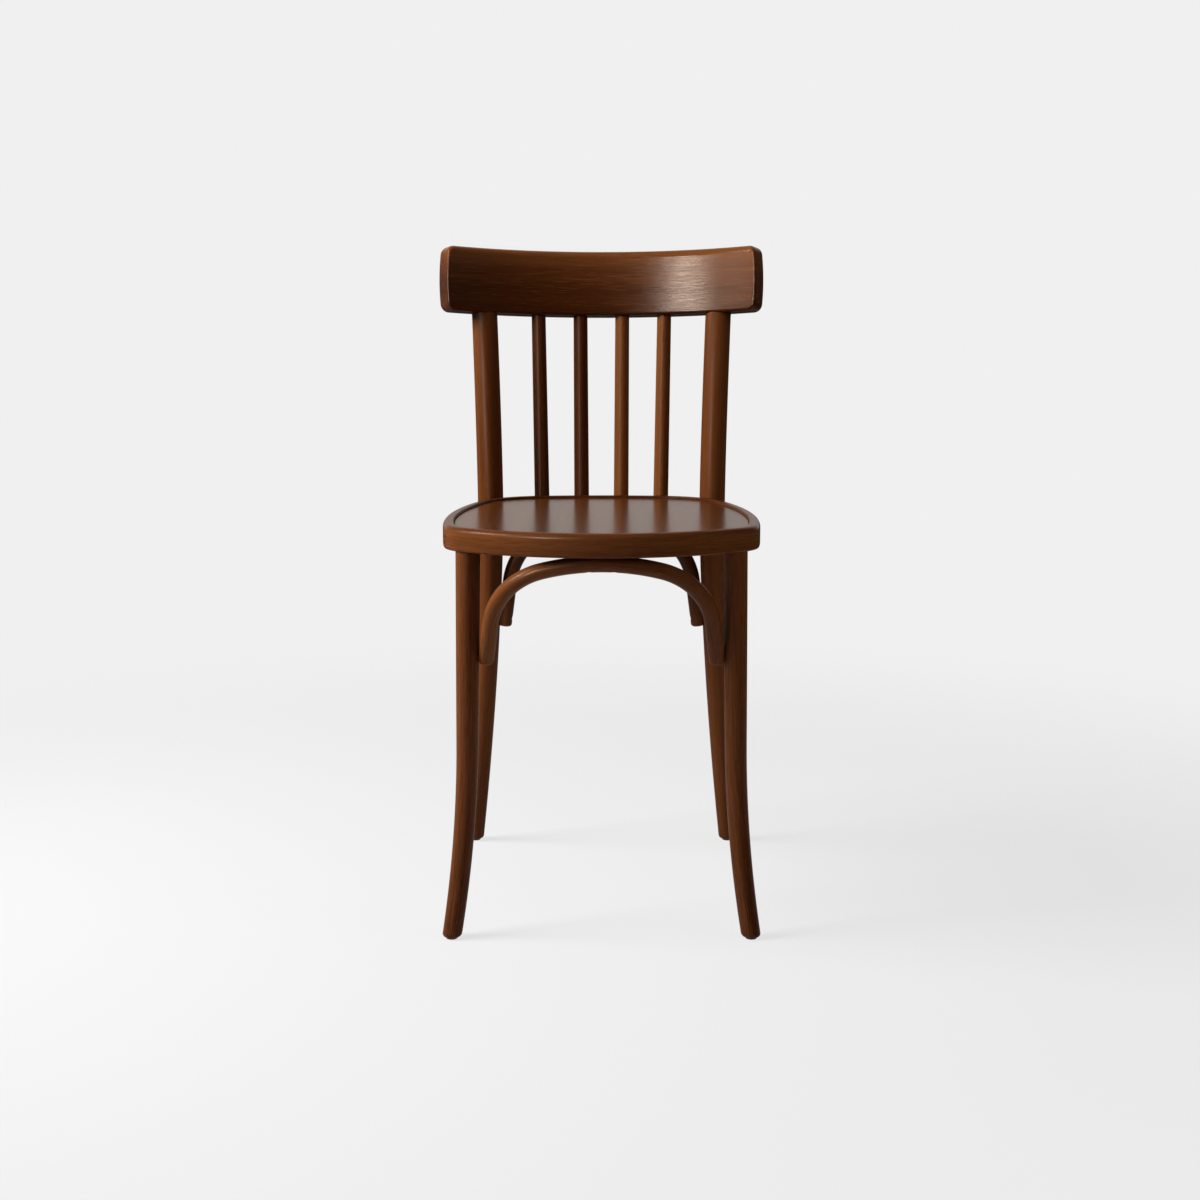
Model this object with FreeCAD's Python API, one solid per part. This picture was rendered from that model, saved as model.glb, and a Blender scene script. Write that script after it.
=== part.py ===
import FreeCAD, Part
import math
import os

from FreeCAD import Matrix, Placement, Rotation, Vector

# Bentwood bistro chair with a spindle back. Millimetres, +Z up, the sitter faces -Y.
# Left and right are as seen from the front, so right is +X.

# Seat ring: a bent hoop, drawn in plan as tangent arcs round the seat's middle
SEAT_HEIGHT = 470.0
SEAT_WIDTH = 367.5
SEAT_DEPTH = 404.5
WIDEST_AHEAD = 39.0
FRONT_BOW_RADIUS = 258.0
SIDE_BOW_RADIUS = 548.0
REAR_BOW_RADIUS = 600.0
FRONT_CORNER_RADIUS = 52.0
REAR_CORNER_RADIUS = 92.5
RING_HEIGHT = 27.0
RAIL_WIDTH = 32.0
RIM_WIDTH = 13.0
RING_TOP_ROUND = 5.0
RING_BOTTOM_ROUND = 2.5
RIM_INNER_ROUND = 1.5

# Seat panel: plywood let into the ring
PANEL_THICKNESS = 6.0
PANEL_RECESS = 3.0
PANEL_GAP = 0.2
PANEL_EDGE_ROUND = 0.8

# Front legs: turned, tenoned up into the ring, flared at the foot, leaning ahead more than out
LEG_BEARING = 49.6
LEG_INSET = 16.5
LEG_TOP_DIAMETER = 28.0
LEG_FOOT_DIAMETER = 22.4
LEG_SPLAY = 5.2
LEG_AHEAD_PER_OUT = 1.4
LEG_FLARE = 16.0
LEG_FLARE_HEIGHT = 220.0
LEG_TENON_DIAMETER = 18.0
LEG_TENON_LENGTH = 13.5

# Back posts: rear leg and upright in one bent piece, notched round the ring
POST_BEARING = 44.6
POST_DIAMETER = 32.4
POST_NOTCH = 6.0
POST_TOP_SPACING = 297.4
POST_TOP_DEPTH = 24.0
POST_FOOT_DIAMETER = 22.0
POST_FOOT_SPREAD = 28.2
POST_FOOT_SETBACK = 72.5
POST_UPPER_BEND = 1.4
POST_LOWER_BEND = 1.7
POST_TENON_DIAMETER = 16.0
POST_TENON_LENGTH = 28.0

# Crest rail: a board bent round an axis that leans back
BACK_LEAN = 9.0
CREST_UNDERSIDE = 695.3
CREST_RADIUS = 400.0
CREST_WIDTH = 413.0
CREST_HEIGHT = 82.8
CREST_THICKNESS = 26.0
CREST_END_RADIUS = 320.0
CREST_CORNER_ROUND = 11.0
CREST_EDGE_ROUND = 4.0

# Spindles: four tapered rods lapped on the back of the ring
SPINDLE_PITCH_AT_SEAT = 50.7
SPINDLE_PITCH_AT_CREST = 53.7
SPINDLE_SEAT_DIAMETER = 19.0
SPINDLE_CREST_DIAMETER = 18.0
SPINDLE_NOTCH = 5.0
SPINDLE_TENON_DIAMETER = 12.0
SPINDLE_TENON_LENGTH = 16.0
SPINDLE_END_ROUND = 2.0

# Arches: bent rods from leg to leg that brace the ring
ARCH_DIAMETER = 18.5
ARCH_CROWN_RADIUS = 246.0
ARCH_CORNER_RADIUS = 80.0
ARCH_LEG_SLANT = 7.5
ARCH_CROWN_INSET = 19.0
ARCH_CROWN_FLAT = 1.0
ARCH_END_ROUND = 3.5
FRONT_ARCH_END_HEIGHT = 316.0
FRONT_ARCH_SADDLE = 2.0
REAR_ARCH_END_HEIGHT = 302.0
REAR_ARCH_SADDLE = 3.5

# Feet and glides
FOOT_ROUND = 4.5
GLIDE_HEIGHT = 2.0
GLIDE_DIAMETER = 13.0
GLIDE_EDGE_ROUND = 0.8
GLIDE_NAIL_DIAMETER = 2.2
GLIDE_NAIL_LENGTH = 18.0
GLIDE_NAIL_HEAD_DIAMETER = 6.0
GLIDE_NAIL_HEAD_HEIGHT = 1.0
GLIDE_NAIL_SINK = 0.5

# Bolts that clamp the posts to the ring
BOLT_DIAMETER = 8.0
BOLT_HEAD_DIAMETER = 18.0
BOLT_HEAD_HEIGHT = 4.5
BOLT_SPOT_FACE = 4.0
BOLT_TAIL = 2.5
WASHER_DIAMETER = 17.0
WASHER_THICKNESS = 1.6
WASHER_SPOT_FACE = 1.2
NUT_ACROSS_FLATS = 13.0
NUT_HEIGHT = 6.5

# Wood screws and nails
SCREW_DIAMETER = 4.0
SCREW_HEAD_DIAMETER = 7.6
SCREW_POINT_LENGTH = 5.0
SCREW_SLOT_LENGTH = 4.6
SCREW_SLOT_WIDTH = 1.1
SCREW_SLOT_DEPTH = 1.0
SCREW_HEAD_SINK = 0.8
SPINDLE_SCREW_GRIP = 10.0
ARCH_END_SCREW_RISE = 9.0
ARCH_END_SCREW_GRIP = 13.0
ARCH_CROWN_SCREW_SPACING = 28.0
ARCH_CROWN_SCREW_GRIP = 11.0
LOCK_SCREW_RISE = 7.0
LOCK_SCREW_GRIP = 4.0
CREST_NAIL_DIAMETER = 2.0
CREST_NAIL_HEAD_DIAMETER = 4.0
CREST_NAIL_HEAD_HEIGHT = 0.8
CREST_NAIL_LENGTH = 20.0
CREST_NAIL_RISE = 14.0

# Clearances
BORE_GAP = 0.1
BORE_END_GAP = 0.5

# Lofted sections per piece, the reach of trimming blocks and how close counts as the same place
LEG_SECTION_COUNT = 12
POST_SECTION_COUNT = 16
FAR = 2000.0
SAME = 1e-4

# Heights that follow from the sizes above
RING_BOTTOM = SEAT_HEIGHT - RING_HEIGHT
RING_MIDDLE = SEAT_HEIGHT - RING_HEIGHT / 2
LEDGE_HEIGHT = SEAT_HEIGHT - PANEL_RECESS - PANEL_THICKNESS
RAIL_SCREW_HEIGHT = (RING_BOTTOM + LEDGE_HEIGHT) / 2
UP = Vector(0, 0, 1)
LEAN = math.radians(BACK_LEAN)


def plan_direction(angle):
    """Unit vector in plan at an angle in radians from +X."""
    return Vector(math.cos(angle), math.sin(angle), 0)


def plan_angle(vector):
    return math.atan2(vector.y, vector.x)


def where_circles_meet(centre_a, radius_a, centre_b, radius_b):
    """The meeting point of two circles in plan that lies further to the right."""
    across = centre_b - centre_a
    distance = across.Length
    ahead = (radius_a ** 2 - radius_b ** 2 + distance ** 2) / (2 * distance)
    aside = math.sqrt(radius_a ** 2 - ahead ** 2)
    unit = across / distance
    normal = Vector(-unit.y, unit.x, 0)
    first = centre_a + unit * ahead + normal * aside
    second = centre_a + unit * ahead - normal * aside
    return first if first.x > second.x else second


# Arc centres of the ring's outline, on the right-hand side
FRONT_CENTRE = Vector(0, FRONT_BOW_RADIUS - SEAT_DEPTH / 2, 0)
REAR_CENTRE = Vector(0, SEAT_DEPTH / 2 - REAR_BOW_RADIUS, 0)
SIDE_CENTRE = Vector(SEAT_WIDTH / 2 - SIDE_BOW_RADIUS, -WIDEST_AHEAD, 0)
FRONT_CORNER_CENTRE = where_circles_meet(
    FRONT_CENTRE, FRONT_BOW_RADIUS - FRONT_CORNER_RADIUS,
    SIDE_CENTRE, SIDE_BOW_RADIUS - FRONT_CORNER_RADIUS)
REAR_CORNER_CENTRE = where_circles_meet(
    REAR_CENTRE, REAR_BOW_RADIUS - REAR_CORNER_RADIUS,
    SIDE_CENTRE, SIDE_BOW_RADIUS - REAR_CORNER_RADIUS)


def arc_edge(centre, radius, start, end):
    middle = (start + end) / 2
    points = [centre + plan_direction(angle) * radius for angle in (start, middle, end)]
    return Part.Arc(*points).toShape()


def ring_outline(inset):
    """Closed plan outline at floor level, parallel to the ring's outer edge."""
    front_turn = plan_angle(FRONT_CORNER_CENTRE - FRONT_CENTRE)
    side_start = plan_angle(FRONT_CORNER_CENTRE - SIDE_CENTRE)
    side_end = plan_angle(REAR_CORNER_CENTRE - SIDE_CENTRE)
    rear_turn = plan_angle(REAR_CORNER_CENTRE - REAR_CENTRE)
    right_arcs = [
        (FRONT_CORNER_CENTRE, FRONT_CORNER_RADIUS, front_turn, side_start),
        (SIDE_CENTRE, SIDE_BOW_RADIUS, side_start, side_end),
        (REAR_CORNER_CENTRE, REAR_CORNER_RADIUS, side_end, rear_turn),
    ]
    edges = [arc_edge(FRONT_CENTRE, FRONT_BOW_RADIUS - inset, -math.pi - front_turn, front_turn)]
    for centre, radius, start, end in right_arcs:
        edges.append(arc_edge(centre, radius - inset, start, end))
    edges.append(arc_edge(REAR_CENTRE, REAR_BOW_RADIUS - inset, rear_turn, math.pi - rear_turn))
    for centre, radius, start, end in reversed(right_arcs):
        mirrored = Vector(-centre.x, centre.y, 0)
        edges.append(arc_edge(mirrored, radius - inset, math.pi - end, math.pi - start))
    return Part.Wire(edges)


def ring_slab(inset, bottom, top):
    """Solid slab inside the outline, from one height to another."""
    face = Part.Face(ring_outline(inset))
    face.translate(UP * bottom)
    return face.extrude(UP * (top - bottom))


def level_edges(shape, height):
    """Edges of a shape that lie wholly at one height."""
    def is_level(edge):
        box = edge.BoundBox
        return abs(box.ZMin - height) < SAME and abs(box.ZMax - height) < SAME
    return [edge for edge in shape.Edges if is_level(edge)]


def along(shape, start, direction):
    """Place a shape that was made up the Z axis so that it starts at a point and runs that way."""
    placed = shape.copy()
    placed.Placement = Placement(start, Rotation(UP, direction)).multiply(shape.Placement)
    return placed


def rod(start, direction, diameter, length):
    return Part.makeCylinder(diameter / 2, length, start, direction)


def both_sides(right):
    """A right-hand shape and its mirror image, as (name, shape) pairs."""
    return [("left", right.mirror(Vector(0, 0, 0), Vector(1, 0, 0))), ("right", right)]


def pair(right):
    return Part.makeCompound([shape for _, shape in both_sides(right)])


def section_wire(x, y, z, width, depth):
    """Level oval section of a leg or post."""
    wire = Part.Wire(Part.Circle(Vector(0, 0, 0), UP, 1.0).toShape())
    stretch = Matrix()
    stretch.scale(Vector(width / 2, depth / 2, 1))
    oval = wire.transformGeometry(stretch)
    oval.translate(Vector(x, y, z))
    return oval


def blend(first, last, share):
    return first + (last - first) * min(max(share, 0.0), 1.0)


# Fasteners


def wood_screw(length):
    """Countersunk screw up the Z axis, its head's face at the origin."""
    head_height = (SCREW_HEAD_DIAMETER - SCREW_DIAMETER) / 2
    head = Part.makeCone(SCREW_HEAD_DIAMETER / 2, SCREW_DIAMETER / 2, head_height)
    shank = Part.makeCylinder(SCREW_DIAMETER / 2, length - SCREW_POINT_LENGTH)
    point = Part.makeCone(SCREW_DIAMETER / 2, 0, SCREW_POINT_LENGTH,
                          UP * (length - SCREW_POINT_LENGTH))
    screw = head.fuse([shank, point])
    for size_x, size_y in ((SCREW_SLOT_LENGTH, SCREW_SLOT_WIDTH), (SCREW_SLOT_WIDTH, SCREW_SLOT_LENGTH)):
        corner = Vector(-size_x / 2, -size_y / 2, -SCREW_SLOT_DEPTH)
        screw = screw.cut(Part.makeBox(size_x, size_y, 2 * SCREW_SLOT_DEPTH, corner))
    return screw.removeSplitter()


def screw_bore(length):
    """Countersunk hole for a wood screw, open past the head's face."""
    head_height = (SCREW_HEAD_DIAMETER - SCREW_DIAMETER) / 2
    head = Part.makeCone(SCREW_HEAD_DIAMETER / 2 + BORE_GAP, SCREW_DIAMETER / 2 + BORE_GAP, head_height)
    mouth = Part.makeCylinder(SCREW_HEAD_DIAMETER / 2 + BORE_GAP, SCREW_HEAD_DIAMETER,
                              UP * -SCREW_HEAD_DIAMETER)
    shank = Part.makeCylinder(SCREW_DIAMETER / 2 + BORE_GAP, length + BORE_END_GAP)
    return mouth.fuse([head, shank]).removeSplitter()


def nail(diameter, length, head_diameter, head_height):
    """Flat-headed nail up the Z axis, its head's face at the origin."""
    head = Part.makeCylinder(head_diameter / 2, head_height)
    shank = Part.makeCylinder(diameter / 2, length - diameter)
    point = Part.makeCone(diameter / 2, 0, diameter, UP * (length - diameter))
    return head.fuse([shank, point]).removeSplitter()


def nail_bore(diameter, length, head_diameter, head_height):
    head = Part.makeCylinder(head_diameter / 2 + BORE_GAP, head_height)
    shank = Part.makeCylinder(diameter / 2 + BORE_GAP, length + BORE_END_GAP)
    return head.fuse(shank).removeSplitter()


# Where the legs, posts, spindles and crest stand


LEG_NORMAL = plan_direction(-math.radians(LEG_BEARING))
LEG_TOP = FRONT_CORNER_CENTRE + LEG_NORMAL * (FRONT_CORNER_RADIUS - LEG_INSET)
POST_NORMAL = plan_direction(math.radians(POST_BEARING))
POST_OUT = POST_DIAMETER / 2 - POST_NOTCH
POST_AT_SEAT = REAR_CORNER_CENTRE + POST_NORMAL * (REAR_CORNER_RADIUS + POST_OUT)

CREST_BACK = Vector(0, math.cos(LEAN), -math.sin(LEAN))
CREST_UP = Vector(0, math.sin(LEAN), math.cos(LEAN))
SPINDLE_OUT = SPINDLE_SEAT_DIAMETER / 2 - SPINDLE_NOTCH
CREST_MIDDLE = Vector(
    0, SEAT_DEPTH / 2 + SPINDLE_OUT + (CREST_UNDERSIDE - RING_MIDDLE) * math.tan(LEAN), CREST_UNDERSIDE)
CREST_AXIS = CREST_MIDDLE - CREST_BACK * CREST_RADIUS


def crest_outward(angle):
    """Unit vector from the crest's bending axis towards its back."""
    return Vector(math.sin(angle), 0, 0) + CREST_BACK * math.cos(angle)


def crest_angle(x, radius=CREST_RADIUS):
    return math.asin(x / radius)


def crest_seat(x):
    """Point of the crest's underside, midway through its thickness, at a distance from the middle."""
    return CREST_AXIS + crest_outward(crest_angle(x)) * CREST_RADIUS


def leg_axis(z):
    drop = (RING_BOTTOM - z) / RING_BOTTOM
    flare = max(0.0, (LEG_FLARE_HEIGHT - z) / LEG_FLARE_HEIGHT) ** 2
    out = LEG_SPLAY * drop + LEG_FLARE * flare
    return Vector(LEG_TOP.x + out, LEG_TOP.y - out * LEG_AHEAD_PER_OUT, z)


def leg_diameter(z):
    return blend(LEG_FOOT_DIAMETER, LEG_TOP_DIAMETER, z / RING_BOTTOM)


POST_TOP = crest_seat(POST_TOP_SPACING / 2)


def post_axis(z):
    """Centre of a back post at a height: upright at the ring, bent back above and below it."""
    if z >= RING_MIDDLE:
        bend = ((z - RING_MIDDLE) / (POST_TOP.z - RING_MIDDLE)) ** POST_UPPER_BEND
        reach = Vector(POST_TOP.x - POST_AT_SEAT.x, POST_TOP.y - POST_AT_SEAT.y, 0)
    else:
        bend = ((RING_MIDDLE - z) / RING_MIDDLE) ** POST_LOWER_BEND
        reach = Vector(POST_FOOT_SPREAD, POST_FOOT_SETBACK, 0)
    place = POST_AT_SEAT + reach * bend
    return Vector(place.x, place.y, z)


def post_width(z):
    return blend(POST_FOOT_DIAMETER, POST_DIAMETER, z / RING_BOTTOM)


def post_depth(z):
    if z <= SEAT_HEIGHT:
        return post_width(z)
    return blend(POST_DIAMETER, POST_TOP_DEPTH, (z - SEAT_HEIGHT) / (POST_TOP.z - SEAT_HEIGHT))


def lofted(axis, width, depth, bottom, top, sections):
    """Solid through level sections, spaced evenly between two heights."""
    heights = [bottom + (top - bottom) * i / (sections - 1) for i in range(sections)]
    wires = []
    for z in heights:
        centre = axis(z)
        wires.append(section_wire(centre.x, centre.y, z, width(z), depth(z)))
    return Part.makeLoft(wires, True, False)


def rounded_foot(solid):
    return solid.makeFillet(FOOT_ROUND, level_edges(solid, GLIDE_HEIGHT))


# Wooden pieces before their bores


def make_ring_block():
    """The ring's outside, without its opening: what posts and spindles are notched to."""
    block = ring_slab(0, RING_BOTTOM, SEAT_HEIGHT)
    block = block.makeFillet(RING_TOP_ROUND, level_edges(block, SEAT_HEIGHT))
    return block.makeFillet(RING_BOTTOM_ROUND, level_edges(block, RING_BOTTOM))


def make_ring(block):
    ring = block.cut(ring_slab(RIM_WIDTH, LEDGE_HEIGHT, SEAT_HEIGHT + RING_HEIGHT))
    inner_edges = [edge for edge in level_edges(ring, SEAT_HEIGHT)
                   if is_on_outline(edge, RIM_WIDTH)]
    ring = ring.makeFillet(RIM_INNER_ROUND, inner_edges)
    ring = ring.cut(ring_slab(RAIL_WIDTH, RING_BOTTOM - RING_HEIGHT, SEAT_HEIGHT))
    inner_edges = [edge for edge in level_edges(ring, RING_BOTTOM)
                   if is_on_outline(edge, RAIL_WIDTH)]
    return ring.makeFillet(RING_BOTTOM_ROUND, inner_edges)


def is_on_outline(edge, inset):
    """Whether an arc is part of the outline at that inset."""
    full_radii = (FRONT_BOW_RADIUS, SIDE_BOW_RADIUS, REAR_BOW_RADIUS,
                  FRONT_CORNER_RADIUS, REAR_CORNER_RADIUS)
    return any(abs(edge.Curve.Radius - (radius - inset)) < SAME for radius in full_radii)


def make_panel():
    panel = ring_slab(RIM_WIDTH + PANEL_GAP, LEDGE_HEIGHT, LEDGE_HEIGHT + PANEL_THICKNESS)
    return panel.makeFillet(PANEL_EDGE_ROUND, level_edges(panel, LEDGE_HEIGHT + PANEL_THICKNESS))


def make_leg():
    leg = lofted(leg_axis, leg_diameter, leg_diameter, GLIDE_HEIGHT, RING_BOTTOM, LEG_SECTION_COUNT)
    leg = rounded_foot(leg)
    tenon_start = Vector(LEG_TOP.x, LEG_TOP.y, RING_BOTTOM - LEG_TENON_LENGTH)
    return leg.fuse(rod(tenon_start, UP, LEG_TENON_DIAMETER, 2 * LEG_TENON_LENGTH))


def below_crest():
    """Half space under the plane of the crest's underside."""
    block = Part.makeBox(2 * FAR, 2 * FAR, FAR, Vector(-FAR, -FAR, -FAR))
    return along(block, CREST_MIDDLE, CREST_UP)


def make_post(ring_block):
    top = POST_TOP.z + POST_DIAMETER
    post = lofted(post_axis, post_width, post_depth, GLIDE_HEIGHT, top, POST_SECTION_COUNT)
    post = rounded_foot(post).common(below_crest()).cut(ring_block)
    tenon_start = POST_TOP - CREST_UP * POST_TENON_LENGTH
    return post.fuse(rod(tenon_start, CREST_UP, POST_TENON_DIAMETER, 2 * POST_TENON_LENGTH))


def spindle_ends(place):
    """Axis of a spindle: its centre at the ring's middle height and at the crest."""
    x = place * SPINDLE_PITCH_AT_SEAT
    radius = REAR_BOW_RADIUS + SPINDLE_OUT
    seat = Vector(x, REAR_CENTRE.y + math.sqrt(radius ** 2 - x ** 2), RING_MIDDLE)
    return seat, crest_seat(place * SPINDLE_PITCH_AT_CREST)


def make_spindle(place, ring_block):
    seat, crest = spindle_ends(place)
    direction = (crest - seat).normalize()
    bottom = seat - direction * (RING_HEIGHT / 2 / direction.z)
    length = (crest - bottom).Length
    spindle = Part.makeCone(SPINDLE_SEAT_DIAMETER / 2, SPINDLE_CREST_DIAMETER / 2, length, bottom, direction)
    spindle = spindle.makeFillet(SPINDLE_END_ROUND, [lowest_edge(spindle)])
    stretch = Part.makeCylinder(SPINDLE_CREST_DIAMETER / 2, SPINDLE_TENON_LENGTH, crest, direction)
    spindle = spindle.fuse(stretch).common(below_crest()).cut(ring_block)
    tenon_start = crest - direction * SPINDLE_TENON_LENGTH
    return spindle.fuse(rod(tenon_start, direction, SPINDLE_TENON_DIAMETER, 2 * SPINDLE_TENON_LENGTH))


def lowest_edge(shape):
    return min(shape.Edges, key=lambda edge: edge.BoundBox.ZMax)


def make_crest():
    """Bent board with bowed ends, softened all round."""
    inner = CREST_RADIUS - CREST_THICKNESS / 2
    outer = CREST_RADIUS + CREST_THICKNESS / 2
    half_turn = crest_angle(CREST_WIDTH / 2, outer)
    cut_turn = half_turn + CREST_THICKNESS / CREST_RADIUS
    start = crest_outward(-cut_turn)
    profile = Part.makePolygon([
        CREST_AXIS + start * inner,
        CREST_AXIS + start * outer,
        CREST_AXIS + start * outer + CREST_UP * CREST_HEIGHT,
        CREST_AXIS + start * inner + CREST_UP * CREST_HEIGHT,
        CREST_AXIS + start * inner,
    ])
    board = Part.Face(profile).revolve(CREST_AXIS, -CREST_UP, math.degrees(2 * cut_turn))
    for side in (-1, 1):
        board = board.common(crest_end_stop(side, half_turn))
    corners = [edge for edge in board.Edges if is_straight(edge)]
    board = board.makeFillet(CREST_CORNER_ROUND, corners)
    rims = [edge for edge in board.Edges if not is_straight(edge)]
    return board.makeFillet(CREST_EDGE_ROUND, rims)


def is_straight(edge):
    return isinstance(edge.Curve, Part.Line)


def crest_end_stop(side, half_turn):
    """Block whose bowed edge trims one end of the crest square to its bend."""
    outward = crest_outward(side * half_turn)
    sideways = CREST_UP.cross(outward) * -side
    front = CREST_AXIS - outward * CREST_RADIUS
    low, middle, high = -CREST_HEIGHT / 2, CREST_HEIGHT / 2, 3 * CREST_HEIGHT / 2
    drop = CREST_END_RADIUS - math.sqrt(CREST_END_RADIUS ** 2 - CREST_HEIGHT ** 2)

    def at(across, height):
        return front - sideways * across + CREST_UP * height

    edges = [
        Part.Arc(at(drop, low), at(0, middle), at(drop, high)).toShape(),
        Part.LineSegment(at(drop, high), at(FAR, high)).toShape(),
        Part.LineSegment(at(FAR, high), at(FAR, low)).toShape(),
        Part.LineSegment(at(FAR, low), at(drop, low)).toShape(),
    ]
    return Part.Face(Part.Wire(edges)).extrude(outward * FAR)


def arch_path(end, crown):
    """Wire of a right-to-left arch: slanted legs, corner arcs and a flatter crown."""
    rise = (Vector(0, crown.y, crown.z) - Vector(0, end.y, end.z))
    height = rise.Length
    upward = rise / height
    slant = math.radians(ARCH_LEG_SLANT)
    leg = Vector(-math.sin(slant), math.cos(slant), 0)
    inward = Vector(-math.cos(slant), -math.sin(slant), 0)
    crown_centre = Vector(0, height - ARCH_CROWN_RADIUS, 0)
    corner_start = Vector(end.x, 0, 0) + inward * ARCH_CORNER_RADIUS
    offset = corner_start - crown_centre
    reach = ARCH_CROWN_RADIUS - ARCH_CORNER_RADIUS
    along_leg = offset.dot(leg)
    straight = math.sqrt(along_leg ** 2 - offset.Length ** 2 + reach ** 2) - along_leg
    corner_centre = corner_start + leg * straight
    foot = Vector(end.x, 0, 0)
    knee = foot + leg * straight
    crown_turn = plan_angle(corner_centre - crown_centre)
    corner_middle = corner_centre + plan_direction((crown_turn - slant) / 2 + slant) * ARCH_CORNER_RADIUS
    shoulder = crown_centre + plan_direction(crown_turn) * ARCH_CROWN_RADIUS
    top = Vector(0, height, 0)

    def lifted(point, side=1):
        return Vector(point.x * side, end.y, end.z) + upward * point.y

    edges = [
        Part.LineSegment(lifted(foot), lifted(knee)).toShape(),
        Part.Arc(lifted(knee), lifted(corner_middle), lifted(shoulder)).toShape(),
        Part.Arc(lifted(shoulder), lifted(top), lifted(shoulder, -1)).toShape(),
        Part.Arc(lifted(shoulder, -1), lifted(corner_middle, -1), lifted(knee, -1)).toShape(),
        Part.LineSegment(lifted(knee, -1), lifted(foot, -1)).toShape(),
    ]
    return Part.Wire(edges), lifted(knee) - lifted(foot)


def make_arch(end, crown, ring_block, carriers):
    path, first_run = arch_path(end, crown)
    profile = Part.Wire(Part.Circle(end, first_run, ARCH_DIAMETER / 2).toShape())
    arch = path.makePipeShell([profile], True, False)
    ends = [edge for edge in arch.Edges if is_arch_end(edge, end)]
    arch = arch.makeFillet(ARCH_END_ROUND, ends)
    for solid in [ring_block] + carriers:
        arch = arch.cut(solid)
    return arch


def is_arch_end(edge, end):
    """Whether an edge is the circle round one of an arch's two ends."""
    middle = edge.CenterOfMass
    return Vector(abs(middle.x), middle.y, middle.z).distanceToPoint(end) < SAME


def arch_end(axis, diameter, height, saddle):
    """Centre of an arch's right-hand end, let into the inner face of a leg."""
    centre = axis(height)
    return Vector(centre.x - diameter(height) / 2 - ARCH_DIAMETER / 2 + saddle, centre.y, height)


def arch_crown(y):
    return Vector(0, y, RING_BOTTOM + ARCH_CROWN_FLAT - ARCH_DIAMETER / 2)


# Fastener places: where each head's face lies, which way it runs and how long it is


def rail_inner_face(centre, normal, radius, height):
    place = centre + normal * (radius - RAIL_WIDTH)
    return Vector(place.x, place.y, height)


def spindle_screw_place(place):
    seat, _ = spindle_ends(place)
    normal = (Vector(seat.x, seat.y, 0) - REAR_CENTRE).normalize()
    start = rail_inner_face(REAR_CENTRE, normal, REAR_BOW_RADIUS, RAIL_SCREW_HEIGHT)
    return start, normal, RAIL_WIDTH + SPINDLE_SCREW_GRIP


def lock_screw_place():
    start = rail_inner_face(FRONT_CORNER_CENTRE, LEG_NORMAL, FRONT_CORNER_RADIUS,
                            RING_BOTTOM + LOCK_SCREW_RISE)
    return start, LEG_NORMAL, RAIL_WIDTH - LEG_INSET + LOCK_SCREW_GRIP


def arch_end_screw_place(axis, diameter, height, saddle):
    end = arch_end(axis, diameter, height, saddle)
    slip = ARCH_END_SCREW_RISE * math.tan(math.radians(ARCH_LEG_SLANT))
    level = height + ARCH_END_SCREW_RISE
    centre = axis(level)
    face_x = end.x - slip - ARCH_DIAMETER / 2 + SCREW_HEAD_SINK
    grip_x = centre.x - diameter(level) / 2 + ARCH_END_SCREW_GRIP
    return face_x, centre.y, level, grip_x - face_x


def sunk(start, direction, length):
    return start + direction * SCREW_HEAD_SINK, direction, length


def bolt_shapes():
    """Right-hand bolt, washer and nut, with the bores they need."""
    inward = POST_NORMAL * -1
    head_seat = POST_AT_SEAT + POST_NORMAL * (POST_DIAMETER / 2 - BOLT_SPOT_FACE)
    head_seat = Vector(head_seat.x, head_seat.y, RAIL_SCREW_HEIGHT)
    wall = rail_inner_face(REAR_CORNER_CENTRE, POST_NORMAL, REAR_CORNER_RADIUS, RAIL_SCREW_HEIGHT)
    washer_seat = wall + POST_NORMAL * WASHER_SPOT_FACE
    grip = (washer_seat - head_seat).Length
    length = grip + WASHER_THICKNESS + NUT_HEIGHT + BOLT_TAIL
    dome_radius = (BOLT_HEAD_DIAMETER ** 2 / 4 + BOLT_HEAD_HEIGHT ** 2) / (2 * BOLT_HEAD_HEIGHT)
    dome = Part.makeSphere(dome_radius, UP * (dome_radius - BOLT_HEAD_HEIGHT))
    dome = dome.common(Part.makeCylinder(BOLT_HEAD_DIAMETER, dome_radius, UP * -dome_radius))
    bolt = along(dome.fuse(Part.makeCylinder(BOLT_DIAMETER / 2, length)).removeSplitter(), head_seat, inward)
    hole = rod(head_seat - inward * BOLT_HEAD_DIAMETER, inward, BOLT_DIAMETER + 2 * BORE_GAP,
               length + 2 * BOLT_HEAD_DIAMETER)
    spot = rod(head_seat, POST_NORMAL, BOLT_HEAD_DIAMETER + 2 * BORE_GAP, BOLT_HEAD_DIAMETER)
    washer_spot = rod(washer_seat, inward, WASHER_DIAMETER + 2 * BORE_GAP, WASHER_DIAMETER)
    washer = rod(washer_seat, inward, WASHER_DIAMETER, WASHER_THICKNESS).cut(hole)
    corner_radius = NUT_ACROSS_FLATS / math.sqrt(3)
    corners = [plan_direction(i * math.pi / 3) * corner_radius for i in range(7)]
    nut = Part.Face(Part.makePolygon(corners)).extrude(UP * NUT_HEIGHT)
    nut = along(nut, washer_seat + inward * WASHER_THICKNESS, inward).cut(hole)
    return bolt, washer, nut, hole, spot, washer_spot


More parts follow.
